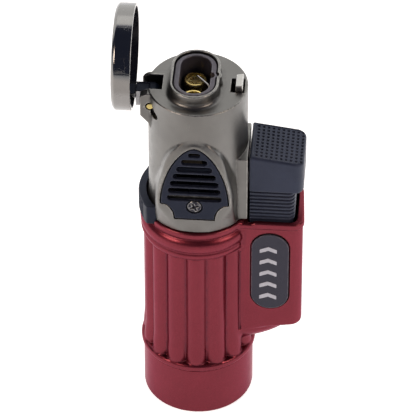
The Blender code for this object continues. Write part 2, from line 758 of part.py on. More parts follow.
def make_manifold(parts, cutters, look):
    manifold = box("gas_manifold", (BURNER_X - 2.6, -7.4, BRIDGE_TOP + CLEARANCE), (BURNER_X + 2.6, 7.4, 89.9),
                   parts, look["brass"])
    nipple = cylinder("manifold_nipple", 0.95, (BURNER_X, 0, 82.2), (BURNER_X, 0, 87), cutters)
    join(manifold, nipple, cutters)
    inlet = cylinder("inlet_bore", 0.45, (BURNER_X, 0, 81), (BURNER_X, 0, 87.8), cutters, sides=12)
    cut(manifold, inlet, cutters)
    cut(manifold, cylinder("cross_bore", 0.7, (BURNER_X, -6, 87.8), (BURNER_X, 9, 87.8), cutters, sides=12),
        cutters)
    for side in (-1, 1):
        y = side * BURNER_Y
        outlet = cylinder(f"outlet_{side}", 0.7, (BURNER_X, y, 87.7), (BURNER_X, y, 91), cutters, sides=12)
        cut(manifold, outlet, cutters)
    hose = wire("gas_hose", smooth_path([
        (0, 4.4, 61), (0, 6.6, 61.4), (0, 8.3, 63.6), (0, 8.5, 67), (0, 8.3, 71.5), (-0.4, 6.0, 75.8),
        (-0.9, 2.2, 77.9), (BURNER_X, 0.2, 79.6), (BURNER_X, 0, 81.8),
    ], 3), HOSE_RADIUS, parts, look["rubber"])
    return manifold, hose


def make_burner(where, side, parts, cutters, look):
    """One burner: jet, tube and the star that spreads the flame."""
    centre = (BURNER_X, side * BURNER_Y)
    jet = turned(f"gas_jet_{where}", [
        (0.9, 93.6), (1.6, 92.4), (1.6, 90.2), (0.35, 90.2), (0.35, 93.6),
    ], parts, look["brass"], sides=16, centre=centre)
    tube = turned(f"burner_tube_{where}", [
        (BURNER_RADIUS - 0.25, BURNER_TIP), (BURNER_RADIUS, BURNER_TIP - 0.25), (BURNER_RADIUS, BURNER_FOOT),
        (BURNER_BORE, BURNER_FOOT), (BURNER_BORE, BURNER_TIP),
    ], parts, look["brass"], sides=18, centre=centre)
    air = cylinder(f"air_holes_{where}", 0.9, (BURNER_X - 4, centre[1], 96), (BURNER_X + 4, centre[1], 96),
                   cutters, sides=12)
    cut(tube, air, cutters)
    star = []
    teeth = 10
    for tooth in range(teeth):
        for radius, turn in ((2.2, -0.22), (2.2, 0.22), (1.25, 0.5)):
            angle = math.tau * (tooth + turn) / teeth
            star.append((centre[0] + radius * math.cos(angle), centre[1] + radius * math.sin(angle)))
    spreader = outline_plate(f"flame_spreader_{where}", star, 105.8, 106.6, parts, look["brass"])
    return [jet, tube, spreader]


def make_spark(parts, cutters, look):
    half_x = PIEZO_SIZE[0] / 2
    half_y = PIEZO_SIZE[1] / 2
    body = box("piezo_body", (PIEZO_X - half_x, -half_y, PIEZO_BOTTOM), (PIEZO_X + half_x, half_y, PIEZO_TOP),
               parts, look["grey_plastic"])
    cut(body, box("piezo_cavity", (PIEZO_X - 3.4, -2.0, 40.0), (PIEZO_X + 3.4, 2.0, 60.0), cutters), cutters)
    plunger = box("piezo_plunger", (PIEZO_X - 3.0, -1.6, 47.5), (PIEZO_X + 3.0, 1.6, PLUNGER_TOP), parts,
                  look["black_plastic"])
    spring = wire("piezo_spring", coil(1.2, 4, (PIEZO_X, 0, 40.5), 6.5), 0.2, parts, look["spring"], 1)
    lead = wire("ignition_lead", smooth_path([
        (16.1, 0, 40.5), (13.3, 0, 40.6), (12.1, 0, 42.4), (12.05, 0, 48), (12.05, 0, 57), (10.7, 2.2, 61.5),
        (9.6, 4.2, 65.5), (9.6, 4.2, 72), (9.6, 4.2, 80), (8.6, 3.1, 85.4), (5.6, 0.9, 87.3),
        (ELECTRODE_X + 0.9, 0.05, 87.5),
    ], 3), 0.55, parts, look["lead"])
    tip = (-0.4, 4.2, 108.2)
    electrode = wire("electrode", [
        (ELECTRODE_X, 0, 86.6), (ELECTRODE_X, 0, 96), (ELECTRODE_X, 0, 107.2), (ELECTRODE_X - 0.1, 0.2, 107.8),
        (ELECTRODE_X - 0.5, 0.7, 108.1), tip,
    ], 0.36, parts, look["steel"])
    insulator = turned("electrode_insulator", [
        (0.75, 104.6), (0.92, 104.3), (0.92, 89.0), (0.6, 89.0), (0.6, 104.6),
    ], parts, look["ceramic"], sides=16, centre=(ELECTRODE_X, 0.0))
    return body, plunger, spring, lead, electrode, insulator


def flare_profile():
    """Limit of the vent boss: a flare that opens upward from the seam."""
    foot = SEAM + CLEARANCE + 0.1
    return [(0.0, 104.0), (17.6, 104.0), (17.6, 78.0), (15.6, 72.0), (SKIRT_RADIUS + 0.05, foot), (0.0, foot)]


def boss_ring(half, apex, y):
    """Outline of the vent boss at one depth."""
    outline = mirrored([(half, SEAM)] + arch_side(half, COVER_CORNER, apex, 8), (0.0, apex))
    return [(x, y, z) for x, z in outline]


def lug_side():
    """Side of the hinge lug. Its top corner is an arc about the pin, inside the path of the lid's edge."""
    top = DECK - 0.08
    sweep = DECK - PIN_Z
    first = math.acos((LUG_X - PIN_X) / sweep)
    last = math.pi - math.asin((top - PIN_Z) / sweep)
    corner = []
    for step in range(5):
        angle = last + (first - last) * step / 4
        corner.append((PIN_X + sweep * math.cos(angle), PIN_Z + sweep * math.sin(angle)))
    return [(LUG_X, 101.3), (-13.3, 98.8), (-12.9, 97.4), (-9.0, 97.4), (-9.0, top)] + corner


def make_head(parts, cutters, look):
    foot = SEAM + CLEARANCE
    head = turned("head_shell", [
        (0.0, DECK), (HEAD_RADIUS - 0.35, DECK), (HEAD_RADIUS, DECK - 0.35), (HEAD_RADIUS, 74.0),
        (HEAD_RADIUS + 0.25, 70.5), (SKIRT_RADIUS, foot), (SPIGOT_RADIUS, foot),
        (SPIGOT_RADIUS, SPIGOT_BOTTOM), (0.0, SPIGOT_BOTTOM),
    ], parts, look["gunmetal"])
    boss = loft("vent_boss", [
        boss_ring(11.6, 100.6, -5.0), boss_ring(10.6, 100.0, -13.5), boss_ring(10.1, 98.4, BOSS_FRONT),
    ], cutters)
    keep_inside(boss, turned("boss_flare", flare_profile(), cutters), cutters)
    join(head, boss, cutters)
    low, high = (2.0, -SADDLE_HALF_WIDTH, foot + 0.12), (SADDLE_X, SADDLE_HALF_WIDTH, SADDLE_TOP)
    join(head, box("saddle", low, high, cutters), cutters)
    lug = outline_plate("hinge_lug", lug_side(), -LUG_HALF_WIDTH, LUG_REAR_WIDTH, cutters, facing="Y")
    lug_plan = rounded_rectangle((LUG_X, -12.0), (-5.0, LUG_REAR_WIDTH), (0, 0, 0, 2.0))
    keep_inside(lug, outline_plate("lug_plan", lug_plan, 90, 115, cutters), cutters)
    join(head, lug, cutters)
    centre = (COLLAR_CENTRE_X, 0.0)
    collar = outline_plate("collar", stadium(centre, COLLAR_SIZE), DECK - 1.0, COLLAR_TOP, cutters)
    join(head, collar, cutters)
    bump = cylinder("collar_bump", 1.9, (4.6, 0, DECK - 0.6), (4.6, 0, COLLAR_TOP - 0.08), cutters)
    join(head, bump, cutters)

    inside = HEAD_RADIUS - HEAD_WALL
    bore_top = DECK - DECK_THICKNESS
    cut(head, cylinder("head_bore", inside, (0, 0, 60), (0, 0, bore_top), cutters, sides=ROUND), cutters)
    join(head, box("catch_rib", (5.8, -1.6, 103.0), (6.5, 1.6, bore_top + 0.5), cutters), cutters)
    cut(head, outline_plate("collar_bore", stadium(centre, COLLAR_BORE), 105.0, 115.0, cutters), cutters)
    cut(head, cylinder("collar_notch", 1.1, (4.6, 0, 105), (4.6, 0, 115), cutters), cutters)
    low, high = (-20.0, -HINGE_SLOT_HALF_WIDTH, HINGE_SLOT_FLOOR), (HINGE_SLOT_X, HINGE_SLOT_HALF_WIDTH, 112)
    cut(head, box("hinge_slot", low, high, cutters), cutters)
    pin_hole = cylinder("pin_hole", PIN_RADIUS + CLEARANCE, (PIN_X, -8, PIN_Z), (PIN_X, 8, PIN_Z), cutters)
    cut(head, pin_hole, cutters)
    room = lever_room(LEVER_INNER - CLEARANCE)
    cut(head, outline_plate("lever_track", room, foot - 1, LEVER_TOP + CLEARANCE, cutters), cutters)
    cut(head, box("catch_slot", (9.0, -2.95, 102.5), (12.7, 2.95, 112), cutters), cutters)
    recess = outline_plate("cover_recess", cover_outline(CLEARANCE), -20.0, -12.8, cutters, facing="Y")
    cut(head, recess, cutters)
    window = [(x * 0.8, z) for x, z in arch_side(COVER_HALF_WIDTH, 79.6, COVER_APEX - 1.6, 7)]
    window = mirrored(window, (0.0, COVER_APEX - 1.6))
    cut(head, outline_plate("air_window", window, -20.0, -5.0, cutters, facing="Y"), cutters)
    cut(head, cylinder("cover_screw_hole", 1.35, (0, -20, SCREW_Z), (0, -9, SCREW_Z), cutters), cutters)
    cut(head, box("tab_slot", (10.5, -2.2, 73.4), (16.0, 2.2, 82.6), cutters), cutters)
    web = sector(11.0, 13.5, 180 - LEVER_TRAVEL - 12, 192, 8)
    web = outline_plate("web_window", web, WEB_BOTTOM - CLEARANCE, WEB_TOP + CLEARANCE, cutters)
    cut(head, web, cutters)
    return head


def make_cover(parts, cutters, look):
    """Vented cover with its slots, and its screw."""
    front = BOSS_FRONT - 0.1
    cover = outline_plate("vent_cover", cover_outline(), front, front + COVER_THICKNESS, parts,
                          look["black_plastic"], facing="Y")
    for index in range(SLOT_COUNT):
        z = TOP_SLOT - SLOT_PITCH * index
        half = cover_half_width(z) - SLOT_MARGIN
        height = SLOT_HEIGHT if index else 1.4
        end = height / 2
        outline = rounded_rectangle((-half, z - end), (half, z + end), [end * 0.98] * 4, 3)
        cut(cover, outline_plate(f"vent_slot_{index}", outline, -20, -10, cutters, facing="Y"), cutters)
    cut(cover, cylinder("screw_clearance", 1.35, (0, -20, SCREW_Z), (0, -10, SCREW_Z), cutters), cutters)
    recess = cylinder("screw_recess", 2.35, (0, -20, SCREW_Z), (0, front + 0.75, SCREW_Z), cutters)
    cut(cover, recess, cutters)
    seat = front + 0.4
    screw = cylinder("vent_screw", 2.0, (0, front - 0.15, SCREW_Z), (0, seat, SCREW_Z), parts,
                     look["dark_metal"])
    shank = cylinder("vent_screw_shank", 1.0, (0, seat - 0.1, SCREW_Z), (0, -8.2, SCREW_Z), cutters)
    join(screw, shank, cutters)
    cut(screw, cross("vent_screw_cross", (0, front - 0.15, SCREW_Z), "Y", 1.3, 0.4, cutters), cutters)
    return cover, screw


def make_wind_guard(parts, cutters, look):
    centre = (COLLAR_CENTRE_X, 0.0)
    guard = outline_plate("wind_guard", stadium(centre, GUARD_SIZE), GUARD_FLOOR, GUARD_TOP, parts,
                          look["dark_metal"])
    bump = cylinder("guard_bump", 0.8, (4.6, 0, GUARD_FLOOR + 0.1), (4.6, 0, GUARD_TOP - 0.1), cutters)
    join(guard, bump, cutters)
    bore = outline_plate("guard_bore", stadium(centre, GUARD_BORE), GUARD_FLOOR + 1, 115, cutters)
    cut(guard, bore, cutters)
    cut(guard, cylinder("guard_notch", 1.25, (ELECTRODE_X, 0, 100), (ELECTRODE_X, 0, 115), cutters), cutters)
    for side in (-1, 1):
        y = side * BURNER_Y
        hole = cylinder(f"burner_hole_{side}", 3.4, (BURNER_X, y, 100), (BURNER_X, y, 105), cutters, sides=24)
        cut(guard, hole, cutters)
    return guard


def make_lid(parts, cutters, look):
    """Lid and arm, modelled shut and swung open about the pin."""
    lid = turned("lid_cap", [
        (0.0, LID_TOP), (LID_RADIUS - LID_CHAMFER, LID_TOP), (LID_RADIUS, LID_TOP - LID_CHAMFER),
        (LID_RADIUS, LID_BOTTOM), (LID_RADIUS - LID_WALL, LID_BOTTOM),
        (LID_RADIUS - LID_WALL, LID_TOP - 1.6), (LID_RADIUS - LID_WALL - 0.4, LID_TOP - 1.2),
        (0.0, LID_TOP - 1.2),
    ], parts, look["mirror_gunmetal"])
    top = LID_BOTTOM - CLEARANCE
    width = ARM_HALF_WIDTH
    reach = KNUCKLE_RADIUS - 0.05
    low, high = (PIN_X - reach, -width, PIN_Z), (PIN_X + reach, width, top)
    arm = box("lid_arm", low, high, parts, look["dark_metal"])
    foot = LID_TOP - 1.4
    tongue = box("arm_tongue", (-12.6, 0.1 - width, top - 1.0), (-11.1, width - 0.1, foot - 0.2), cutters)
    join(arm, tongue, cutters)
    join(arm, box("arm_foot", (-12.5, 0.2 - width, foot - 0.9), (-8.4, width - 0.2, foot), cutters), cutters)
    knuckle = cylinder("knuckle", KNUCKLE_RADIUS, (PIN_X, 0.05 - width, PIN_Z), (PIN_X, width - 0.05, PIN_Z),
                       cutters, sides=24)
    join(arm, knuckle, cutters)
    bore = cylinder("knuckle_bore", PIN_RADIUS + CLEARANCE, (PIN_X, -3, PIN_Z), (PIN_X, 3, PIN_Z), cutters)
    cut(arm, bore, cutters)
    return lid, arm


def make_hinge(parts, look):
    front, rear = (PIN_X, -LUG_HALF_WIDTH - 0.1, PIN_Z), (PIN_X, LUG_REAR_WIDTH + 0.1, PIN_Z)
    pin = cylinder("lid_pin", PIN_RADIUS, front, rear, parts, look["brass"])
    y = (ARM_HALF_WIDTH + HINGE_SLOT_HALF_WIDTH) / 2
    turns = []
    for step in range(13):
        angle = math.radians(-60 + 290 * step / 12)
        turns.append((PIN_X + 1.6 * math.cos(angle), y, PIN_Z + 1.6 * math.sin(angle)))
    legs = [(turns[0][0] + 1.2, y, turns[0][2] - 0.4), *turns, (turns[-1][0] - 1.4, y, turns[-1][2] + 0.5)]
    spring = wire("lid_spring", legs, 0.2, parts, look["spring"])
    return pin, spring


def make_catch(parts, cutters, look):
    catch = box("lid_catch", (10.3, -2.65, 103.4), (12.3, 2.65, 111.0), parts, look["steel"], bevel=0.3)
    join(catch, box("catch_foot", (9.6, -3.5, 103.4), (11.0, 3.5, 104.4), cutters), cutters)
    turns = coil(0.8, 3, (6.9, 0, 105.7), 3.0, axis="X")
    spring = wire("catch_spring", turns, 0.15, parts, look["spring"], 1)
    return catch, spring


def make_lever(parts, cutters, look):
    lever = outline_plate("flame_lever", lever_ring(), LEVER_BOTTOM, LEVER_TOP, parts, look["black_plastic"])
    join(lever, box("lever_web", (-15.4, -1.5, WEB_BOTTOM), (-3.6, 1.5, WEB_TOP), cutters), cutters)
    eye = cylinder("lever_eye", 4.8, (0, 0, WEB_BOTTOM + 0.05), (0, 0, WEB_TOP - 0.05), cutters, sides=24)
    join(lever, eye, cutters)
    cut(lever, cylinder("lever_eye_bore", 3.05, (0, 0, 60), (0, 0, 70), cutters, sides=24), cutters)
    return lever


def make_button(parts, cutters, look):
    low_x, high_x = BUTTON_X
    width = BUTTON_HALF_WIDTH
    side = [
        (low_x, BUTTON_BOTTOM), (high_x, BUTTON_BOTTOM), (high_x, BUTTON_TOP_OUTER), (low_x, BUTTON_TOP_INNER),
    ]
    button = outline_plate("trigger_button", side, -width, width, parts, look["black_plastic"], facing="Y")
    plan = rounded_rectangle((low_x - 1, -width), (high_x, width), (0, 2.6, 2.6, 0))
    keep_inside(button, outline_plate("button_plan", plan, 50, 100, cutters), cutters)
    round_edges(button, 0.5, 2, 50)
    stem_width = STEM_HALF_WIDTH - 0.4
    stem = rounded_rectangle((STEM_X[0], -stem_width), (STEM_X[1] - 0.4, stem_width), (0, 1.6, 1.6, 0))
    join(button, outline_plate("button_stem", stem, STEM_BOTTOM, BUTTON_BOTTOM + 0.6, cutters), cutters)
    rib = rounded_rectangle(
        (STEM_X[0] + 0.05, -STEM_HALF_WIDTH), (STEM_X[1], STEM_HALF_WIDTH), (0, 1.9, 1.9, 0), 3,
    )
    for index in range(RIB_COUNT):
        low = BUTTON_BOTTOM - 1.6 - index * RIB_PITCH
        join(button, outline_plate(f"rib_{index}", rib, low, low + 0.9, cutters), cutters)
    hollow = box("stem_hollow", (STEM_X[0] + 1.3, 1.3 - stem_width, 50), (STEM_X[1] - 1.3, stem_width - 1.3, 74),
                 cutters)
    cut(button, hollow, cutters)
    post = box("plunger_post", (PIEZO_X - 1.8, -1.6, PLUNGER_TOP + CLEARANCE), (PIEZO_X + 1.8, 1.6, 75), cutters)
    join(button, post, cutters)
    join(button, box("rocker_tab", (8.6, -1.8, TAB_BOTTOM), (15.5, 1.8, TAB_BOTTOM + 2), cutters), cutters)
    return button


def main():
    clear_scene()
    parts = collection("butane_torch")
    cutters = collection("cutters")
    look = finishes()
    make_body(parts, cutters, look)
    make_name_plate(parts, look)
    make_base(parts, cutters, look)
    filler = make_filler(parts, look)
    gas_valve = make_gas_valve(parts, cutters, look)
    rocker, _ = make_rocker(parts, cutters, look)
    make_chassis(parts, cutters, look)
    make_manifold(parts, cutters, look)
    make_burner("front", -1, parts, cutters, look)
    make_burner("rear", 1, parts, cutters, look)
    spark = make_spark(parts, cutters, look)
    make_head(parts, cutters, look)
    make_cover(parts, cutters, look)
    make_wind_guard(parts, cutters, look)
    lid, arm = make_lid(parts, cutters, look)
    make_hinge(parts, look)
    catch, _ = make_catch(parts, cutters, look)
    lever = make_lever(parts, cutters, look)
    button = make_button(parts, cutters, look)

    bpy.context.view_layer.update()
    hinge = pivot("lid_hinge", (PIN_X, 0, PIN_Z), [lid, arm], parts)
    hinge.rotation_euler = (0, math.radians(-90), 0)
    pivot("trigger_slide", (PIEZO_X, 0, BUTTON_BOTTOM), [button], parts)
    pivot("plunger_slide", (PIEZO_X, 0, PLUNGER_TOP), [spark[1]], parts)
    pivot("rocker_pivot", (ROCKER_PIVOT[0], 0, ROCKER_PIVOT[1]), [rocker], parts)
    pivot("valve_lift", (0, 0, VALVE_TOP), [gas_valve[1]], parts)
    pivot("filler_slide", (FILLER_X, 0, 0), [filler[1]], parts)
    pivot("lever_turn", (0, 0, LEVER_BOTTOM), [lever], parts)
    pivot("catch_slide", (11.3, 0, DECK), [catch], parts)


main()
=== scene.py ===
"""Looks of a refillable twin-flame butane torch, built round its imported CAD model.

The visible castings and mouldings are made as distance fields: a function says how far
a point is from the surface, blends give the fillets and draft of a casting, and a
surface net turns the field into a mesh. Turned pieces are lathed. Fields and profiles
are in millimetres in the row frame: the axis of the body is x = y = 0, the base stands
on z = 0, +X points to the trigger and -Y is the front.
"""

import math
from functools import reduce

import bpy
import numpy as np
from mathutils import Matrix, Vector


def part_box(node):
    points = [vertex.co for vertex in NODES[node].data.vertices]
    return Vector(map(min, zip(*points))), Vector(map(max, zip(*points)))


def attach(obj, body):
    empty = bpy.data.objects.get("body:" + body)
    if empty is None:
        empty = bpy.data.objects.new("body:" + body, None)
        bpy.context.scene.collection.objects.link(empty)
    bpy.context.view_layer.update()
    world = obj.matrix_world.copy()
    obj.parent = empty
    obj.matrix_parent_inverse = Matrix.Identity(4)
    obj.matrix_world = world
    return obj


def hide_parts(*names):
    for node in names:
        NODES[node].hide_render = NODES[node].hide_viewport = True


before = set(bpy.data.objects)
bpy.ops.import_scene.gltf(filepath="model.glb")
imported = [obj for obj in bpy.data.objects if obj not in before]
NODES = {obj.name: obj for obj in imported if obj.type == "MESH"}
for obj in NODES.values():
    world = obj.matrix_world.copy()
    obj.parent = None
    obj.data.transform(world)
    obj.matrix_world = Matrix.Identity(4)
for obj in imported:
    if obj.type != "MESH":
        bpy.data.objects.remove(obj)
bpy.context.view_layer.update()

MM = 0.001
BLOCK = 8  # grid cells in one block of a surface net
BLOCK_REACH = 1.25  # blocks whose centre is nearer than this many sides are meshed
BATCH = 1000  # blocks worked out at a time
NET_MARGIN = 1.5  # empty steps round a surface net
LEAST_STEEPNESS = 0.3  # of a field's slope, squared, so that nothing is divided by 0
BEND_REACH = 0.3  # millimetres over which a field's bend is taken
BEND_LIMIT = 1.5
LATHE_CREASE = math.radians(38)
WIRE_CREASE = math.radians(50)


def cad_box(node):
    """Lowest and highest corner of a CAD node, in millimetres."""
    low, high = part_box(node)
    return [v / MM for v in low], [v / MM for v in high]


# ---- distance fields


def slab(level, low, high):
    """The space between two levels."""
    return np.maximum(low - level, level - high)


def common(*fields):
    """The space that all the fields share, with sharp edges."""
    return reduce(np.maximum, fields)


def rounded(a, b, radius):
    """The space that two fields at right angles share, with a true round between them."""
    a, b = a + radius, b + radius
    return np.minimum(np.maximum(a, b), 0) + np.hypot(np.maximum(a, 0), np.maximum(b, 0)) - radius


def rectangle(u, v, low, high, radius=0.0):
    return rounded(slab(u, low[0], high[0]), slab(v, low[1], high[1]), radius)


def prism(flat, level, low, high, radius=0.0):
    """A flat shape carried from one level to another, with its rims rounded."""
    return rounded(flat, slab(level, low, high), radius)


def block(x, y, z, low, high, radius=0.0):
    flat = rectangle(x, y, low, high, radius)
    return prism(flat, z, low[2], high[2], radius)


def stadium(u, v, centre, size):
    """Its long side runs along v."""
    half = (size[1] - size[0]) / 2
    return np.hypot(u - centre[0], np.maximum(np.abs(v - centre[1]) - half, 0)) - size[0] / 2


def polygon(u, v, corners):
    u, v = np.broadcast_arrays(u, v)
    nearest = np.full(u.shape, 1e9, np.float32)
    inside = np.zeros(u.shape, bool)
    for (au, av), (bu, bv) in zip(corners, corners[1:] + corners[:1]):
        eu, ev = bu - au, bv - av
        pu, pv = u - au, v - av
        t = np.clip((pu * eu + pv * ev) / (eu * eu + ev * ev), 0, 1)
        nearest = np.minimum(nearest, (pu - eu * t) ** 2 + (pv - ev * t) ** 2)
        if ev:
            inside ^= ((av > v) != (bv > v)) & (u < eu * (v - av) / ev + au)
    return np.where(inside, -1, 1) * np.sqrt(nearest)


def union(a, b, fillet=0.0):
    nearer = np.minimum(a, b)
    if fillet:
        nearer = nearer - np.maximum(fillet - np.abs(a - b), 0) ** 2 / (4 * fillet)
    return nearer


def meet(a, b, fillet=0.0):
    return -union(-a, -b, fillet)


def cut(a, b, fillet=0.0):
    return -union(-a, b, fillet)


def ease(value, low, high):
    """0 below low, 1 above high, smooth between."""
    t = np.clip((value - low) / (high - low), 0, 1)
    return t * t * (3 - 2 * t)


# ---- meshing


def surface_net(field, low, high, step):
    """Vertices and quads of the surface where the field is zero."""
    low = np.array(low, float) - NET_MARGIN * step
    high = np.array(high, float) + NET_MARGIN * step
    counts = np.ceil((high - low) / (step * BLOCK)).astype(int)
    side = BLOCK * step
    middles = [low[a] + (np.arange(counts[a]) + 0.5) * side for a in range(3)]
    rough = field(*np.ix_(*middles))
    rough = np.broadcast_to(rough, counts).astype(np.float32)
    values = rough.repeat(BLOCK, 0).repeat(BLOCK, 1).repeat(BLOCK, 2)
    values = np.pad(values, ((0, 1),) * 3, mode="edge")
    busy = np.argwhere(np.abs(rough) < side * BLOCK_REACH)
    local = np.arange(BLOCK + 1)
    for part in np.array_split(busy, max(1, len(busy) // BATCH)):
        index = part[:, :, None] * BLOCK + local
        cells = (
            index[:, 0, :, None, None], index[:, 1, None, :, None], index[:, 2, None, None, :],
        )
        places = [(low[a] + i * step).astype(np.float32) for a, i in enumerate(cells)]
        values[cells] = field(*places)

    inside = values < 0
    shape = np.array(inside.shape) - 1
    corners = np.zeros(shape, np.uint8)
    for dx, dy, dz in np.ndindex(2, 2, 2):
        corners += inside[dx:dx + shape[0], dy:dy + shape[1], dz:dz + shape[2]]
    cells = np.argwhere((corners > 0) & (corners < 8))
    ids = np.full(shape, -1, np.int32)
    ids[tuple(cells.T)] = np.arange(len(cells))

    total = np.zeros((len(cells), 3))
    number = np.zeros(len(cells))
    for axis in range(3):
        first, second = [a for a in range(3) if a != axis]
        for du, dv in np.ndindex(2, 2):
            start = cells.copy()
            start[:, first] += du
            start[:, second] += dv
            end = start.copy()
            end[:, axis] += 1
            a, b = values[tuple(start.T)], values[tuple(end.T)]
            crosses = (a < 0) != (b < 0)
            spot = start.astype(float)
            spot[:, axis] += np.where(crosses, a / np.where(crosses, a - b, 1), 0)
            total += spot * crosses[:, None]
            number += crosses
    points = low + step * total / number[:, None]

    quads = []
    for axis in range(3):
        b, c = (axis + 1) % 3, (axis + 2) % 3
        spots = np.argwhere(np.diff(inside, axis=axis))
        kept = (spots[:, b] > 0) & (spots[:, c] > 0)
        kept &= (spots[:, b] < shape[b]) & (spots[:, c] < shape[c])
        spots = spots[kept]
        quad = []
        for db, dc in ((-1, -1), (0, -1), (0, 0), (-1, 0)):
            cell = spots.copy()
            cell[:, b] += db
            cell[:, c] += dc
            quad.append(ids[tuple(cell.T)])
        quad = np.stack(quad, 1)
        outward = inside[tuple(spots.T)]
        quad[~outward] = quad[~outward][:, ::-1]
        quads.append(quad)
    return points, np.concatenate(quads)


def at(field, points):
    return field(points[:, 0], points[:, 1], points[:, 2])


def slope(field, points, reach):
    """The field's gradient and its bend, which is above 0 on edges and below 0 in hollows."""
    gradient = np.empty_like(points)
    bend = -6 * at(field, points)
    for axis in range(3):
        step = np.zeros(3)
        step[axis] = reach
        ahead, behind = at(field, points + step), at(field, points - step)
        gradient[:, axis] = (ahead - behind) / (2 * reach)
        bend = bend + ahead + behind
    return gradient, bend / reach


def settle(field, points, step, rounds=2):
    """Move vertices that are near the surface onto it."""
    for _ in range(rounds):
        gradient, _ = slope(field, points, step * 0.3)
        steep = np.maximum((gradient ** 2).sum(1), LEAST_STEEPNESS)
        move = np.clip(at(field, points) / steep, -step / 2, step / 2)
        points = points - gradient * move[:, None]
    return points


def set_places(mesh, points):
    mesh.vertices.foreach_set("co", (points * MM).astype(np.float32).ravel())


def vertex_places(mesh):
    flat = np.empty(len(mesh.vertices) * 3, np.float32)
    mesh.vertices.foreach_get("co", flat)
    return flat.reshape(-1, 3).astype(float) / MM


def mesh_of(name, points, faces):
    mesh = bpy.data.meshes.new(name)
    mesh.vertices.add(len(points))
    set_places(mesh, points)
    corners = faces.shape[1]
    mesh.loops.add(faces.size)
    mesh.loops.foreach_set("vertex_index", faces.astype(np.int32).ravel())
    mesh.polygons.add(len(faces))
    mesh.polygons.foreach_set("loop_start", np.arange(0, faces.size, corners, dtype=np.int32))
    mesh.update(calc_edges=True)
    mesh.validate()
    return mesh


def add(name, data):
    made = bpy.data.objects.new(name, data)
    bpy.context.scene.collection.objects.link(made)
    return made


def evaluated_mesh(made):
    bpy.context.view_layer.update()
    graph = bpy.context.evaluated_depsgraph_get()
    return bpy.data.meshes.new_from_object(made.evaluated_get(graph))


def turned(points, turn):
    """Points, in millimetres, put where a piece is that was made before its turn."""
    return points @ np.array(turn.to_3x3()).T + np.array(turn.translation)


def carve(name, field, low, high, step, share=0.5, turn=None):
    """A piece made from its distance field, thinned to a share of its faces. Its
    normals come from the field, and its "bend" attribute marks edges and hollows."""
    points, quads = surface_net(field, low, high, step)
    points = settle(field, points, step)
    made = add(name, mesh_of(name, points, quads))
    if share < 1:
        thin = made.modifiers.new("Thin", "DECIMATE")
        thin.ratio = share
        dense = made.data
        made.data = evaluated_mesh(made)
        made.modifiers.clear()
        bpy.data.meshes.remove(dense)
    mesh = made.data
    points = settle(field, vertex_places(mesh), step, 1)
    normals, _ = slope(field, points, step * 0.4)
    _, bend = slope(field, points, BEND_REACH)
    if turn is not None:
        points = turned(points, turn)
        normals = normals @ np.array(turn.to_3x3()).T
    normals /= np.maximum(np.linalg.norm(normals, axis=1), 1e-6)[:, None]
    set_places(mesh, points)
    mesh.shade_smooth()
    mesh.update()
    mark = mesh.attributes.new("bend", "FLOAT", "POINT")
    mark.data.foreach_set("value", np.clip(bend, -BEND_LIMIT, BEND_LIMIT).astype(np.float32))
    mesh.normals_split_custom_set_from_vertices(normals.astype(np.float32))
    return made


def lathe(name, profile, centre=(0.0, 0.0), sides=96, turn=None):
    """A solid turned about a vertical axis from (radius, height) points that run down
    the outside. A profile that doesn't start on the axis is closed as a ring."""
    ring = profile[0][0] > 1e-6
    rows = len(profile)
    angles = np.arange(sides) * math.tau / sides
    points = []
    for radius, height in profile:
        radius = max(radius, 0.0)
        x, y = centre[0] + radius * np.cos(angles), centre[1] + radius * np.sin(angles)
        points.append(np.stack([x, y, np.full(sides, height)], 1))
    points = np.concatenate(points)
    if turn is not None:
        points = turned(points, turn)
    faces = []
    for row in range(rows if ring else rows - 1):
        above, below = row * sides, (row + 1) % rows * sides
        for step in range(sides):
            after = (step + 1) % sides
            faces.append((above + step, below + step, below + after, above + after))
    mesh = bpy.data.meshes.new(name)
    mesh.from_pydata([tuple(p) for p in points * MM], [], faces)
    made = add(name, mesh)
    weld = made.modifiers.new("Weld", "WELD")
    weld.merge_threshold = 1e-7
    made.data = evaluated_mesh(made)
    made.modifiers.clear()
    made.data.shade_smooth()
    made.data.set_sharp_from_angle(angle=LATHE_CREASE)
    return made


def rounded_profile(corners, radii, steps=5):
    """A profile whose corners are rounded by the given radii."""
    profile = []
    for index, (corner, radius) in enumerate(zip(corners, radii)):
        if radius == 0:
            profile.append(corner)
            continue
        here = Vector(corner)
        before = (Vector(corners[index - 1]) - here).normalized()
        after = (Vector(corners[(index + 1) % len(corners)]) - here).normalized()
        for step in range(steps + 1):
            t = step / steps
            start, end = here + before * radius, here + after * radius
            profile.append(tuple(start * (1 - t) ** 2 + here * 2 * t * (1 - t) + end * t ** 2))
    return profile


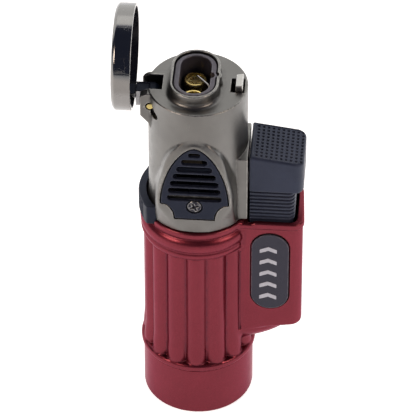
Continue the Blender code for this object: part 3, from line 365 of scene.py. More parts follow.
def wire(name, anchors, radius, sides=4, steps=6):
    """A round wire on a smooth curve through its anchors, with round ends."""
    places = [Vector(a) for a in (anchors[0], *anchors, anchors[-1])]
    path = []
    for index in range(len(anchors) - 1):
        before, start, end, after = places[index:index + 4]
        for step in range(steps):
            t = step / steps
            path.append(0.5 * (
                2 * start + (end - before) * t + (2 * before - 5 * start + 4 * end - after) * t ** 2
                + (3 * start - before - 3 * end + after) * t ** 3
            ))
    path.append(places[-1])
    thick = [radius] * len(path)
    for _ in range(2):
        tip, along = path[-1], (path[-1] - path[-2]).normalized()
        for share in (0.5, 0.87, 1.0):
            path.append(tip + along * radius * share)
            thick.append(radius * math.sqrt(max(1 - share ** 2, 0.02)))
        path.reverse()
        thick.reverse()
    curve = bpy.data.curves.new(name, "CURVE")
    curve.dimensions = "3D"
    curve.bevel_depth = MM
    curve.bevel_resolution = sides
    curve.use_fill_caps = True
    spline = curve.splines.new("POLY")
    spline.points.add(len(path) - 1)
    for corner, spot, size in zip(spline.points, path, thick):
        corner.co = (*(spot * MM), 1)
        corner.radius = size
    drawn = add(name + "_curve", curve)
    made = add(name, evaluated_mesh(drawn))
    bpy.data.objects.remove(drawn, do_unlink=True)
    made.data.shade_smooth()
    made.data.set_sharp_from_angle(angle=WIRE_CREASE)
    return made


# ---- sizes, in millimetres

# red body
SEAM = cad_box("body_casting")[1][2]
BODY_RADIUS = 15.5
BODY_BORE = 13.1
VALLEY_RADIUS = 14.1  # between the ribs
REEDS = 15
REED_PITCH = math.tau / REEDS
REED_PHASE = math.radians(31.7)
REED_CENTRE = 12.2  # radius at which the ribs' rounds are centred
REED_ROUND = 3.2
REED_ENDS = (17.6, 58.9)
RING_PLACE = (15.25, 17.5)  # radius and height of the base ring's middle
ROLL_PLACE = (14.2, 62.75)  # the same for the bead's roll
ROLL_HALF = (1.95, 2.6)
RIDGE_PLACE = (14.95, 59.9)  # and for the ridge under it
BEAD_GAP = 0.60  # half the angle that the bead leaves free for the housing
RING_ROOT = 13.5  # how deep the base ring and the rim reach into the wall
BEAD_ROOT = 13.0

# trigger housing
HOUSING_ROOT = 2.0
HOUSING_X = 30.1
HOUSING_TAPER = 1.2  # how much shorter it is at the rear
HOUSING_Y = 9.2
HOUSING_TOP = 67.0
HOUSING_FOOT = 27.0
HOUSING_LIP = 0.5  # how far the lip beside the grip stands above the top
KEEL_X = 12.0
KEEL_HALF = (16.8, 9.1, 7.6)
POCKET_FLOOR = 38.0
PLATE_LOW, PLATE_HIGH = cad_box("name_plate")
PLATE_CENTRE = ((PLATE_LOW[0] + PLATE_HIGH[0]) / 2, (PLATE_LOW[2] + PLATE_HIGH[2]) / 2)
PLATE_RECESS = (10.95, 27.95)
CHEVRON_PITCH = 4.3
CHEVRON_HALF = (2.4, 0.7)

# grey head
HEAD_RADIUS = 13.65
HEAD_BORE = 11.9
FLARE_TOP = 74.0
DECK = 109.0
BOSS_FRONT = -14.2
BOSS_KNEE = 72.0  # above it the boss widens faster
FRAME_HALF = 10.1
FRAME_APEX = 98.4
COLLAR_TOP = cad_box("head_shell")[1][2]
COLLAR_CENTRE = (-0.75, 0.0)
NOTCH_X = 4.6  # the collar's and the guard's bulge for the spark lead
PIN = (-12.7, 104.65)
PIN_HOLE = 1.25
LUG_X = -15.45
LUG_HALF = 5.4
LUG_REAR = 4.4
SLOT_X = -9.7
SLOT_FLOOR = 101.7
FAR_FRONT = -22.0  # in front of everything

# vented cover
COVER_LOW, COVER_HIGH = cad_box("vent_cover")
COVER_CORNER = 77.9
COVER_FOOT = 5.4
COVER_HALF = COVER_HIGH[0]
COVER_APEX = COVER_HIGH[2]
ARCH_RISE, ARCH_BOW = 1.8, 0.6
AIR_INSET = 1.6
VENTS = 7
VENT_TOP = 95.4
VENT_PITCH = 2.57
SCREW_Z = 76.9
SCREW_HOLE = 1.35

# lid
LID_RADIUS = 14.65
LID_BOTTOM = 109.15
LID_TOP = 114.4
LID_WALL = 0.9
LID_ROOF = 1.2
LID_CHAMFER = 0.8

# flame lever
LEVER_INNER = 14.3
LEVER_END = 9.5
LEVER_TOP = 72.0
LEVER_GAP = 0.3
LEVER_TEETH = 190  # on a full turn

# trigger button
CAP_X = (14.6, 29.5)
CAP_Y = 7.8
CAP_FOOT = 77.7
CAP_TOP = 90.2
CAP_SLOPE = 0.1477
DIMPLE_PITCH = 1.36
STEM_RIB_TOP = 76.9
STEM_RIB_PITCH = 1.25

# burners and spark
BURNER_X = -1.0
BURNER_Y = 3.85
SPARK_X = 3.3
STAR_PETALS = 12
STAR_Z = 106.2

LID_TURN = (
    Matrix.Translation((PIN[0], 0, PIN[1])) @ Matrix.Rotation(math.radians(-90), 4, "Y")
    @ Matrix.Translation((-PIN[0], 0, -PIN[1]))
)


def arch(half, corner, apex, steps=14):
    """Outline of an arch on two straight legs, as (x, z) points."""
    side = []
    for step in range(steps):
        rise = math.sin(math.pi / 2 * step / steps)
        side.append((half * (1 - rise ** ARCH_RISE) ** ARCH_BOW, corner + (apex - corner) * rise))
    return side


def mirrored(side, tip):
    return side + [tip] + [(-x, z) for x, z in reversed(side)]


def cover_outline(grow=0.0):
    """The vented cover: an arch over two scalloped lower corners."""
    half = COVER_HALF + grow
    foot = COVER_FOOT + grow * 0.6
    bottom = COVER_LOW[2] - grow
    corner = COVER_CORNER - grow * 0.5
    scallop = []
    for step in range(8):
        angle = math.pi / 2 * step / 8
        across = foot + (half - foot) * (1 - math.cos(angle))
        scallop.append((across, bottom + (corner - bottom) * math.sin(angle)))
    return mirrored(scallop + arch(half, corner, COVER_APEX + grow), (0.0, COVER_APEX + grow))


def cover_half_width(height):
    rise = (height - COVER_CORNER) / (COVER_APEX - COVER_CORNER)
    return COVER_HALF * (1 - rise ** ARCH_RISE) ** ARCH_BOW


# ---- the red casting


def housing_field(x, y, z):
    """The trigger housing: a block on the body's right with a keel under it."""
    reach = x + HOUSING_TAPER * (y + HOUSING_Y) / (2 * HOUSING_Y) * ease(x, 10.0, 16.0)
    plan = rectangle(reach, y, (HOUSING_ROOT, -HOUSING_Y), (HOUSING_X, HOUSING_Y), radius=3.4)
    side_high = (HOUSING_X, HOUSING_TOP + 5)
    side = rectangle(reach, z, (HOUSING_ROOT, HOUSING_FOOT), side_high, radius=4.6)
    lean = (HOUSING_FOOT + 0.165 * np.maximum(x - 13.0, 0) - z) / 1.014
    housing = meet(meet(plan, side, fillet=0.5), lean, fillet=1.2)
    # a low step under the rim, which leaves a rounded lip round the pocket
    rim = HOUSING_TOP + HOUSING_LIP * ease(x, 15.2, 16.6)
    lip = prism(plan, z, 65.3, rim, radius=0.55)
    waist = common(housing + 0.22, z - 65.25, -2.0 - z)
    housing = union(waist, lip, fillet=0.12)
    # the keel is part of an ellipsoid that rises to the right
    offset = (x - KEEL_X, y, z - HOUSING_FOOT - 0.6 - 0.16 * (x - KEEL_X))
    keel = np.sqrt(sum((place / half) ** 2 for place, half in zip(offset, KEEL_HALF)))
    return union(housing, common((keel - 1) * 7.2, z - 34.0), fillet=0.5)


def lever_room(x, y):
    """Plan of the space that the lever sweeps, from its front end to far round the back."""
    return common(x * 0.931 + y * 0.365, -y - LEVER_END - LEVER_GAP)


def body_field(x, y, z):
    """The reeded grip with its base cup, bead and housing, bored out for the tank."""
    radius = np.hypot(x, y)
    angle = np.arctan2(y, x)
    turn = np.mod(angle - REED_PHASE + REED_PITCH / 2, REED_PITCH) - REED_PITCH / 2
    across, out = radius * np.sin(turn), radius * np.cos(turn)
    swell = 0.35 * ease(z, 26.0, 19.5)
    reed = np.hypot(across, out - REED_CENTRE - swell) - REED_ROUND
    reed = prism(reed, z, *REED_ENDS, radius=1.1)
    core = prism(radius - VALLEY_RADIUS, z, 15.0, 66.0)
    shape = union(core, reed, fillet=0.35)

    ring_out = np.maximum(radius - RING_PLACE[0], 0)
    ring = np.hypot(ring_out, np.maximum(np.abs(z - RING_PLACE[1]) - 0.25, 0)) - 0.95
    shape = union(shape, common(ring, RING_ROOT - radius), fillet=0.45)
    rim = prism(radius - BODY_RADIUS, z, 58.4, 59.5, radius=0.4)
    shape = union(shape, common(rim, RING_ROOT - radius), fillet=0.3)
    roll = np.hypot((radius - ROLL_PLACE[0]) / ROLL_HALF[0], (z - ROLL_PLACE[1]) / ROLL_HALF[1])
    roll = (roll - 1.0) * 1.8
    ridge = np.hypot(radius - RIDGE_PLACE[0], z - RIDGE_PLACE[1]) - 1.0
    ends = (np.abs(angle) - BEAD_GAP) * radius
    bead = union(meet(roll, -ends, fillet=1.6), meet(ridge, 0.6 - ends, fillet=1.2), fillet=0.55)
    shape = union(shape, common(bead, BEAD_ROOT - radius), fillet=0.8)
    lip = prism(radius - 15.15, z, 65.5, SEAM, radius=0.5)
    shape = union(shape, common(lip, BEAD_ROOT - radius), fillet=0.7)
    cup = prism(radius - BODY_RADIUS, z, 0.0, 16.25, radius=0.55)
    shape = union(shape, cup, fillet=0.1)
    shape = union(shape, housing_field(x, y, z), fillet=0.9)
    edge_groove = np.hypot(x - 12.4, y + HOUSING_Y + 0.15) - 0.38
    shape = cut(shape, common(edge_groove, slab(z, 27.5, 57.0)), fillet=0.2)

    # the tank's bore, the button's pocket, the lead's window, the lever's track, the plate's seat
    shape = cut(shape, prism(radius - BODY_BORE, z, -5.0, 90.0))
    pocket = rectangle(x, y, (10.0, -7.85), (27.8, 7.85), radius=1.8)
    shape = cut(shape, common(pocket, 14.3 - x, POCKET_FLOOR - z), fillet=0.35)
    shape = cut(shape, block(x, y, z, (11.0, -1.2, 39.2), (15.0, 1.2, 41.8)))
    shape = cut(shape, common(lever_room(x, y), 65.45 - z), fillet=0.15)
    plate = stadium(x, z, PLATE_CENTRE, PLATE_RECESS)
    return cut(shape, common(plate, y + HOUSING_Y - 0.8, -y - HOUSING_Y - 1.5), fillet=0.25)


# ---- the grey head

FRAME = mirrored(
    [(FRAME_HALF, 60.0)] + arch(FRAME_HALF, COVER_CORNER, FRAME_APEX), (0.0, FRAME_APEX),
)
AIR_WINDOW = mirrored(
    [(x * 0.8, z) for x, z in arch(COVER_HALF, 79.6, COVER_APEX - AIR_INSET)],
    (0.0, COVER_APEX - AIR_INSET),
)
LUG_OUTLINE = [
    (LUG_X, 101.3), (-13.3, 98.8), (-12.9, 97.3), (-8.0, 97.3), (-8.0, DECK - 0.05),
    (-13.5, DECK - 0.08), (-14.55, 108.55), (LUG_X, 108.0),
]


def pin_distance(x, z):
    return np.hypot(x - PIN[0], z - PIN[1])


def boss_field(x, y, z, radius, foot):
    """The frame that stands proud round the cover: a bevel, a wall and a widening cone."""
    edge = polygon(x, z, FRAME)
    top = ease(z, 86.0, 96.0)
    spread = 0.7 + 1.5 * top
    depth = y - BOSS_FRONT
    bevel = (edge - spread * depth) / np.sqrt(1 + spread ** 2)
    wall = edge - 0.55 - 1.1 * top - 0.13 * (depth - 0.7)
    boss = meet(meet(bevel, wall, fillet=0.35), -depth, fillet=0.12)
    lower, upper = 14.55 + (z - 67.9) * 0.256, 15.6 + (z - BOSS_KNEE) * 0.333
    cone = radius - np.where(z < BOSS_KNEE, lower, upper)
    boss = meet(boss, cone * 0.95, fillet=0.5)
    return common(boss, foot - z, y + 4.0)


def head_field(x, y, z):
    """The die-cast head, with its boss, saddle, lugs and collar, and its hollows."""
    radius = np.hypot(x, y)
    foot = SEAM + 0.3
    flare = 0.85 * np.clip((FLARE_TOP - z) / (FLARE_TOP - foot), 0, 1.2) ** 1.5
    shape = prism(radius - HEAD_RADIUS - flare, z, foot, DECK, radius=0.35)
    shape = union(shape, boss_field(x, y, z, radius, foot), fillet=0.35)
    saddle = block(x, y, z, (0.0, -8.0, foot), (14.2, 8.0, 89.4), radius=0.35)
    shape = union(shape, saddle, fillet=0.35)

    lug = prism(polygon(x, z, LUG_OUTLINE), y, -LUG_HALF, LUG_REAR, radius=0.25)
    lug_plan = rectangle(x, y, (LUG_X, -12.0), (12.0, LUG_REAR), radius=2.0)
    shape = union(shape, meet(lug, lug_plan, fillet=0.1), fillet=0.3)

    collar = stadium(x, y, COLLAR_CENTRE, (13.4, 20.8))
    collar = prism(collar, z, DECK - 3, COLLAR_TOP, radius=0.3)
    bump = prism(np.hypot(x - NOTCH_X, y) - 1.9, z, DECK - 3, COLLAR_TOP - 0.05, radius=0.3)
    shape = union(shape, union(collar, bump, fillet=0.6), fillet=1.5)

    # its bore, and the spigot that stands in the body
    shape = cut(shape, prism(radius - HEAD_BORE, z, 60.0, 107.0))
    shape = union(shape, common(np.abs(radius - 12.3) - 0.4, slab(z, 62.5, 70.0)))
    bore = prism(stadium(x, y, COLLAR_CENTRE, (11.9, 19.2)), z, 105.0, 118.0)
    bore = np.minimum(bore, prism(np.hypot(x - NOTCH_X, y) - 1.1, z, 105.0, 118.0))
    shape = cut(shape, bore, fillet=0.2)
    # room for the lid's arm, the pin, the lever and the catch
    shape = cut(shape, block(x, y, z, (-22.0, -3.0, SLOT_FLOOR), (SLOT_X, 3.0, 114.0)), fillet=0.2)
    shape = cut(shape, common(pin_distance(x, z) - PIN_HOLE, x + 8.0), fillet=0.1)
    hollow = np.hypot(x - PIN[0] - 1.05, z - PIN[1] + 1.2) - 1.3
    hollow = common(hollow, PIN[0] + 0.2 - x, slab(y, -9.5, -4.6))
    shape = cut(shape, hollow, fillet=0.12)
    track = common(lever_room(x, y), z - LEVER_TOP - LEVER_GAP, LEVER_INNER - LEVER_GAP - radius)
    shape = cut(shape, track, fillet=0.12)
    shape = cut(shape, block(x, y, z, (9.0, -2.95, 102.5), (12.7, 2.95, 114.0)), fillet=0.15)

    # the cover's seat, air way and screw hole, and slots for the button's tab and lever's web
    recess = polygon(x, z, cover_outline(0.3))
    shape = cut(shape, common(recess, slab(y, FAR_FRONT, -12.8)), fillet=0.1)
    air = polygon(x, z, AIR_WINDOW)
    shape = cut(shape, common(air, slab(y, FAR_FRONT, -5.0)))
    shape = cut(shape, common(np.hypot(x, z - SCREW_Z) - SCREW_HOLE, y + 9.0))
    shape = cut(shape, block(x, y, z, (10.5, -2.2, 73.4), (16.0, 2.2, 82.6)))
    web = common(np.abs(radius - 12.2) - 1.3, np.abs(z - 66.7) - 0.8)
    return cut(shape, common(web, x + 9.5, -y - 2.8))


# ---- plastic mouldings


def cover_field(x, y, z):
    """Vented cover with rounded slots, and a seat for its screw."""
    front = COVER_LOW[1]
    shape = prism(polygon(x, z, cover_outline()), y, front, COVER_HIGH[1], radius=0.22)
    for index in range(VENTS):
        middle = VENT_TOP - VENT_PITCH * index
        half = cover_half_width(middle) - 1.6
        height = 1.9 if index else 1.4
        low, high = (-half, middle - height / 2), (half, middle + height / 2)
        slot = rectangle(x, z, low, high, radius=height / 2 - 0.02)
        shape = cut(shape, common(slot, -30.0 - y), fillet=0.28)
    seat = np.hypot(x, z - SCREW_Z)
    shape = cut(shape, common(seat - 2.35, y - front - 0.75), fillet=0.12)
    return cut(shape, seat - SCREW_HOLE)


def screw_head(across, along, front, reach):
    """A pan head that faces down its axis, with a cross recess, on a threaded shank."""
    thread_pitch = 0.4
    radius = np.hypot(*across)
    dome = front + radius ** 2 * 0.07
    head = meet(radius - 2.0, (dome - along) * 0.95, fillet=0.3)
    head = common(head, along - front - 0.75)
    depth = along - front - 0.62 + radius * 0.28
    arms = np.minimum(
        common(np.abs(across[0]) - 1.3, np.abs(across[1]) - 0.3),
        common(np.abs(across[1]) - 1.3, np.abs(across[0]) - 0.3),
    )
    head = cut(head, common(arms, depth), fillet=0.12)
    thread = radius - 1.0 + 0.06 * np.cos(along * 2 * math.pi / thread_pitch)
    return union(head, common(thread, front + 0.5 - along, along - reach))


def vent_screw_field(x, y, z):
    turn = math.radians(24)
    u, v = x, z - SCREW_Z
    across = (u * math.cos(turn) + v * math.sin(turn), v * math.cos(turn) - u * math.sin(turn))
    return screw_head(across, y, COVER_LOW[1] - 0.12, -8.2)


def base_screw_field(x, y, z):
    return screw_head((x + 7.0, y), z, 0.1, 7.5)


def button_cap_field(x, y, z):
    """The pressed cap, with a sloping top that is dimpled inside a thin border."""
    plan = rectangle(x, y, (5.0, -CAP_Y), (CAP_X[1], CAP_Y), radius=2.6)
    plan = meet(plan, CAP_X[0] - x, fillet=0.4)
    over = (z - CAP_TOP + CAP_SLOPE * (x - CAP_X[0])) / 1.011
    shape = meet(meet(plan, over, fillet=0.9), CAP_FOOT - z, fillet=0.7)
    inner = rectangle(x, y, (15.5, 0.85 - CAP_Y), (CAP_X[1] - 0.85, CAP_Y - 0.85), radius=1.8)
    shape = cut(shape, common(inner, -over - 0.14), fillet=0.12)
    along = x - 16.0 - 0.35
    column = np.clip(np.round(along / DIMPLE_PITCH), 0, 9)
    row = np.clip(np.round(y / DIMPLE_PITCH - 0.5), -5, 4) + 0.5
    off_column, off_row = along - column * DIMPLE_PITCH, y - row * DIMPLE_PITCH
    dimple = np.sqrt(off_column ** 2 + off_row ** 2 + (over + 0.12) ** 2) - 0.4
    shape = cut(shape, dimple, fillet=0.1)
    return union(shape, block(x, y, z, (8.6, -1.8, 80.0), (16.5, 1.8, 82.0), radius=0.2))


def button_stem_field(x, y, z):
    """The ribbed stem under the cap, hollow from below."""
    plan = rectangle(x, y, (5.0, -7.1), (26.8, 7.1), radius=1.6)
    shape = common(plan, 14.7 - x, slab(z, 57.5, 78.1))
    rib_plan = common(rectangle(x, y, (5.0, -7.5), (27.2, 7.5), radius=2.0), 14.75 - x)
    index = np.clip(np.round((STEM_RIB_TOP - z) / STEM_RIB_PITCH), 0, 7)
    level = z - STEM_RIB_TOP + index * STEM_RIB_PITCH
    ribs = prism(rib_plan, level, -0.36, 0.36, radius=0.2)
    shape = union(shape, ribs, fillet=0.15)
    shape = cut(shape, common(rectangle(x, y, (16.0, -5.8), (25.9, 5.8)), z - 74.0))
    return union(shape, block(x, y, z, (19.2, -1.6, 61.3), (22.8, 1.6, 75.0), radius=0.15))


def lever_field(x, y, z):
    """The flame lever: a knurled ring segment with plain blocks at its ends."""
    radius = np.hypot(x, y)
    teeth = 0.12 * np.cos(np.arctan2(y, -x) * LEVER_TEETH)
    plain = ease(np.abs(y), 7.4, 7.7)
    smooth = common(ease(np.abs(z - 68.9), 2.55, 2.75), plain)
    outer = 16.42 + teeth * (1 - smooth) + 0.12 * plain
    shape = common(radius - outer, LEVER_INNER - radius) * 0.9
    shape = prism(shape, z, 65.8, LEVER_TOP, radius=0.2)
    shape = meet(shape, np.abs(y) - LEVER_END, fillet=0.3)
    shape = common(shape, x + 8.0)
    web = block(x, y, z, (-15.4, -1.5, 66.2), (-3.6, 1.5, 67.2))
    eye = common(radius - 4.8, slab(z, 66.25, 67.15))
    shape = union(shape, union(web, eye, fillet=0.6), fillet=0.2)
    return cut(shape, radius - 3.05)


def plate_field(x, y, z):
    """The black plate: a plain stadium with a rounded rim."""
    size = (PLATE_HIGH[0] - PLATE_LOW[0], PLATE_HIGH[2] - PLATE_LOW[2])
    return prism(stadium(x, z, PLATE_CENTRE, size), y, PLATE_LOW[1], PLATE_HIGH[1], radius=0.12)


def plate_marks_field(x, y, z):
    """Five plain chevrons up the plate."""
    u = np.abs(x - PLATE_CENTRE[0] + 0.5)
    row = np.clip(np.round((z - PLATE_CENTRE[1]) / CHEVRON_PITCH), -2, 2)
    v = z - PLATE_CENTRE[1] - row * CHEVRON_PITCH + 0.42 * u
    mark = rectangle(u, v, (-CHEVRON_HALF[0], -CHEVRON_HALF[1]), CHEVRON_HALF, radius=0.25)
    return prism(mark, y, PLATE_LOW[1] - 0.06, PLATE_LOW[1] + 0.1, radius=0.04)


# ---- burner and hinge pieces


def guard_field(x, y, z):
    """The sleeve in the collar: an oval cup over two burner holes and a spark hole."""
    shape = stadium(x, y, COLLAR_CENTRE, (11.4, 18.3))
    shape = prism(shape, z, 103.0, 112.3, radius=0.5)
    bulge = prism(np.hypot(x - NOTCH_X, y) - 0.8, z, 103.1, 112.2, radius=0.3)
    shape = union(shape, bulge, fillet=0.3)
    well = prism(stadium(x, y, COLLAR_CENTRE, (8.3, 15.8)), z, 104.0, 120.0)
    shape = cut(shape, well, fillet=0.45)
    shape = cut(shape, np.hypot(x - SPARK_X, y) - 1.25, fillet=0.2)
    return cut(shape, np.hypot(x - BURNER_X, np.abs(y) - BURNER_Y) - 3.4)


def arm_field(x, y, z):
    """The lid's arm, shut: a channel with two cheeks, a knuckle and a foot in the lid."""
    top = LID_BOTTOM - 0.3
    foot = LID_TOP - 1.4
    cheek = rectangle(x, z, (PIN[0] - 2.55, PIN[1]), (PIN[0] + 2.55, top), radius=0.1)
    shape = prism(union(cheek, pin_distance(x, z) - 2.6), y, -2.1, 2.1, radius=0.2)
    channel = rectangle(x, y, (PIN[0] + 1.5, -1.6), (PIN[0] + 9.0, 1.6))
    shape = cut(shape, common(channel, PIN[1] + 0.6 - z), fillet=0.1)
    tongue = block(x, y, z, (-12.6, -2.0, top - 1.0), (-11.1, 2.0, foot - 0.2), radius=0.1)
    hook = block(x, y, z, (-12.5, -1.9, foot - 0.9), (-8.4, 1.9, foot), radius=0.15)
    shape = union(shape, union(tongue, hook, fillet=0.4))
    return cut(shape, pin_distance(x, z) - PIN_HOLE, fillet=0.1)


def arm_shade_strip_field(x, y, z):
    """A black strip that fills the arm's channel, partly dark material and partly painted shade
    where the channel lies in shade.
    """
    low = (PIN[0] + 1.45, -1.55, PIN[1] + 0.65)
    return block(x, y, z, low, (PIN[0] + 2.35, 1.55, LID_BOTTOM - 0.35), radius=0.12)


def catch_field(x, y, z):
    """The lid's catch: an upright with a sloping crown, on a foot under the deck."""
    crown = (z - 111.0 + 0.22 * (11.3 - x)) / 1.02
    upright = block(x, y, z, (10.3, -2.65, 103.4), (12.3, 2.65, 112.0), radius=0.25)
    foot = block(x, y, z, (9.6, -3.5, 103.4), (11.0, 3.5, 104.4), radius=0.1)
    return union(meet(upright, crown, fillet=0.3), foot, fillet=0.2)


def spreader_field(side):
    """The burner's star: a disc with radial slots and a small cone in the middle."""
    pitch = math.tau / STAR_PETALS

    def field(x, y, z):
        u, v = x - BURNER_X, y - side * BURNER_Y
        radius = np.hypot(u, v)
        turn = (np.mod(np.arctan2(v, u) + pitch / 2, pitch) - pitch / 2) * radius
        slot = common(np.abs(turn) - 0.08 - 0.12 * radius, slab(radius, 0.75, 1.95))
        shape = common(radius - 2.35, np.abs(z - STAR_Z) - 0.4)
        shape = cut(shape, slot, fillet=0.08)
        cone = common(radius - 0.75 + (z - 106.5) * 0.9, 106.0 - z) * 0.74
        return union(shape, cone, fillet=0.1)
    return field


# ---- materials


class Graph:
    """A node tree, and short ways to add to it."""

    def __init__(self, tree):
        self.tree = tree

    def set(self, socket, value):
        if isinstance(value, bpy.types.NodeSocket):
            self.tree.links.new(value, socket)
        elif isinstance(value, tuple) and socket.type == "RGBA":
            socket.default_value = (*value, 1.0)
        else:
            socket.default_value = value

    def node(self, kind, inputs=None, **settings):
        made = self.tree.nodes.new("ShaderNode" + kind)
        for key, value in settings.items():
            setattr(made, key, value)
        for key, value in (inputs or {}).items():
            self.set(made.inputs[key], value)
        return made

    def maths(self, operation, first, second=0.0):
        return self.node("Math", {0: first, 1: second}, operation=operation).outputs[0]

    def times(self, first, second):
        return self.maths("MULTIPLY", first, second)

    def level(self, value, low, high, to=(0.0, 1.0), **settings):
        inputs = {
            "Value": value, "From Min": low, "From Max": high, "To Min": to[0], "To Max": to[1],
        }
        return self.node("MapRange", inputs, **settings).outputs[0]

    def mix(self, share, first, second):
        return self.node("Mix", {0: share, 6: first, 7: second}, data_type="RGBA").outputs[2]


class Look(Graph):
    """A procedural material whose patterns are laid out in Object coordinates."""

    def __init__(self, name, **sockets):
        self.material = bpy.data.materials.new(name)
        self.material.use_nodes = True
        super().__init__(self.material.node_tree)
        self.shader = self.tree.nodes["Principled BSDF"]
        self.places = self.node("TexCoord").outputs["Object"]
        self.bend = self.node("Attribute", attribute_name="bend").outputs["Fac"]
        self.relief = None
        for key, value in sockets.items():
            self.set(self.shader.inputs[key.replace("_", " ")], value)

    def pattern(self, kind, size, stretch=(1, 1, 1), **inputs):
        """A texture whose features have a size in millimetres, drawn out along some axes."""
        scale = tuple(1 / (size * MM * share) for share in stretch)
        spread = self.node("Mapping", {"Vector": self.places, "Scale": scale}).outputs[0]
        return self.node(kind, {"Vector": spread, "Scale": 1.0, **inputs}).outputs

    def noise(self, size, detail=3.0, rough=0.55, stretch=(1, 1, 1)):
        return self.pattern("TexNoise", size, stretch, Detail=detail, Roughness=rough)["Fac"]

    def cells(self, size):
        colour = self.pattern("TexVoronoi", size)["Color"]
        return self.node("SeparateColor", {"Color": colour}).outputs[0]

    def lines(self, size, stretch):
        """Hair-line scratches: the thin middle band of a stretched noise."""
        middle = self.maths("SUBTRACT", self.noise(size, 1.0, 0.4, stretch), 0.5)
        return self.level(self.maths("ABSOLUTE", middle), 0.012, 0.0)

    def raise_by(self, height, depth):
        inputs = {"Height": height, "Distance": depth * MM, "Strength": 1.0}
        if self.relief:
            inputs["Normal"] = self.relief
        self.relief = self.node("Bump", inputs).outputs["Normal"]
        self.set(self.shader.inputs["Normal"], self.relief)


HOLLOW_BENDS = (-0.06, -0.5)  # dirt and painted shade darken hollows from the first to the second
EDGE_BENDS = (0.28, 0.8)  # and wear shows
FLAKE = 0.11
DARK_BELOW_FADE = 3


def tinted(colour, share):
    return tuple(channel * share for channel in colour)


def paint(name, colour, hollow, edge, rough, blotch=3.0, depth=0.75, grain=0.2, relief=0.006,
          worn=0.8, dust_and_shade=0.8, flakes=0.0, scratched=0.5, dark_below=None, **sockets):
    """A finish with drifting colour, a fine grain, dirt and painted shade in its hollows and wear
    on its edges.
    Given a height, it is darker below it."""
    look = Look(name, **sockets)
    drift = look.level(look.noise(blotch, 4.0), 0.32, 0.68)
    tone = look.mix(drift, tinted(colour, depth), colour)
    fine = look.level(look.noise(grain, 2.0), 0.3, 0.7)
    tone = look.mix(look.times(fine, 0.25), tone, tinted(colour, 0.72))
    if flakes:
        glitter = look.level(look.cells(FLAKE), 0.55, 1.0)
        tone = look.mix(look.times(glitter, flakes), tone, tinted(colour, 1.55))
    patchy = look.level(look.noise(1.6, 4.0, 0.65), 0.28, 0.62)
    # painted shade: hollows darken towards the hollow colour, partly dirt and partly the shade that
    # falls in creases
    low = look.times(look.level(look.bend, *HOLLOW_BENDS), dust_and_shade)
    tone = look.mix(look.times(low, patchy), tone, hollow)
    high = look.times(look.level(look.bend, *EDGE_BENDS), worn)
    high = look.times(high, look.level(look.noise(0.9, 4.0, 0.7), 0.34, 0.6))
    tone = look.mix(high, tone, edge)
    # below the given height the tone goes to the hollow colour, darker towards the bottom
    if dark_below:
        height = look.node("SeparateXYZ", {"Vector": look.places}).outputs[2]
        undarkened = look.level(height, dark_below * MM, (dark_below + DARK_BELOW_FADE) * MM)
        tone = look.mix(undarkened, hollow, tone)
    look.set(look.shader.inputs["Base Color"], tone)
    gloss = look.level(look.noise(blotch * 0.45, 5.0, 0.65), 0.3, 0.7, rough)
    gloss = look.maths("ADD", gloss, look.times(low, 0.14))
    if scratched:
        marks = look.maths("MAXIMUM", look.lines(3.0, (7, 1, 1)), look.lines(2.4, (1, 1, 6)))
        marks = look.times(marks, look.level(look.noise(9.0), 0.45, 0.6, (0.0, scratched)))
        gloss = look.maths("ADD", gloss, look.times(marks, 0.25))
        look.raise_by(marks, -0.006)
    look.set(look.shader.inputs["Roughness"], gloss)
    look.raise_by(look.noise(grain, 3.0, 0.6), relief)
    look.raise_by(look.noise(blotch * 0.35, 2.0), relief * 4)
    return look.material


RED = paint(
    "red_metallic_paint", (0.158, 0.0195, 0.031), (0.055, 0.014, 0.025), (0.26, 0.075, 0.08),
    (0.27, 0.36), blotch=9.0, depth=0.86, grain=0.16, relief=0.005, worn=0.35, dust_and_shade=0.6,
    flakes=0.5, scratched=0.4, Metallic=0.85, Coat_Weight=0.14, Coat_Roughness=0.18, Coat_IOR=1.5,
    Specular_Tint=(0.8, 0.42, 0.5),
)
GUNMETAL = paint(
    "gunmetal_plating", (0.165, 0.162, 0.156), (0.045, 0.043, 0.042), (0.42, 0.41, 0.39),
    (0.27, 0.38), blotch=8.0, depth=0.86, relief=0.005, worn=0.6, dust_and_shade=0.7, Metallic=0.95,
)
LID_METAL = paint(
    "black_nickel", (0.24, 0.235, 0.23), (0.08, 0.08, 0.085), (0.6, 0.6, 0.6), (0.09, 0.16),
    blotch=10.0, depth=0.92, grain=0.4, relief=0.002, worn=0.5, dust_and_shade=0.4, scratched=0.7,
    Metallic=1.0,
)
# painted shade: a black look for the inside of the lid, which lies in shade
PAINTED_SHADE_INSIDE = paint(
    "painted_shade_black", (0.012, 0.013, 0.024), (0.01, 0.01, 0.012), (0.05, 0.05, 0.06), (0.22, 0.34),
    blotch=5.0, grain=0.25, relief=0.004, Specular_IOR_Level=0.3,
)
GUARD_METAL = paint(
    "heat_darkened_steel", (0.085, 0.078, 0.098), (0.03, 0.027, 0.03), (0.22, 0.21, 0.24),
    (0.34, 0.48), depth=0.8, worn=0.6, dust_and_shade=0.7, scratched=0.4, Metallic=0.45,
)
SCREW_BLACK = paint(
    "black_zinc", (0.026, 0.026, 0.036), (0.01, 0.01, 0.012), (0.3, 0.3, 0.3), (0.2, 0.32),
    blotch=1.5, worn=0.9, Metallic=0.9,
)
BLACK = paint(
    "black_moulded_plastic", (0.01, 0.013, 0.026), (0.012, 0.011, 0.012), (0.035, 0.038, 0.055),
    (0.4, 0.52), blotch=6.0, depth=0.8, grain=0.22, relief=0.012, worn=0.6, dust_and_shade=0.6,
    scratched=0.35, Specular_IOR_Level=0.2, Specular_Tint=(0.62, 0.72, 1.0),
)
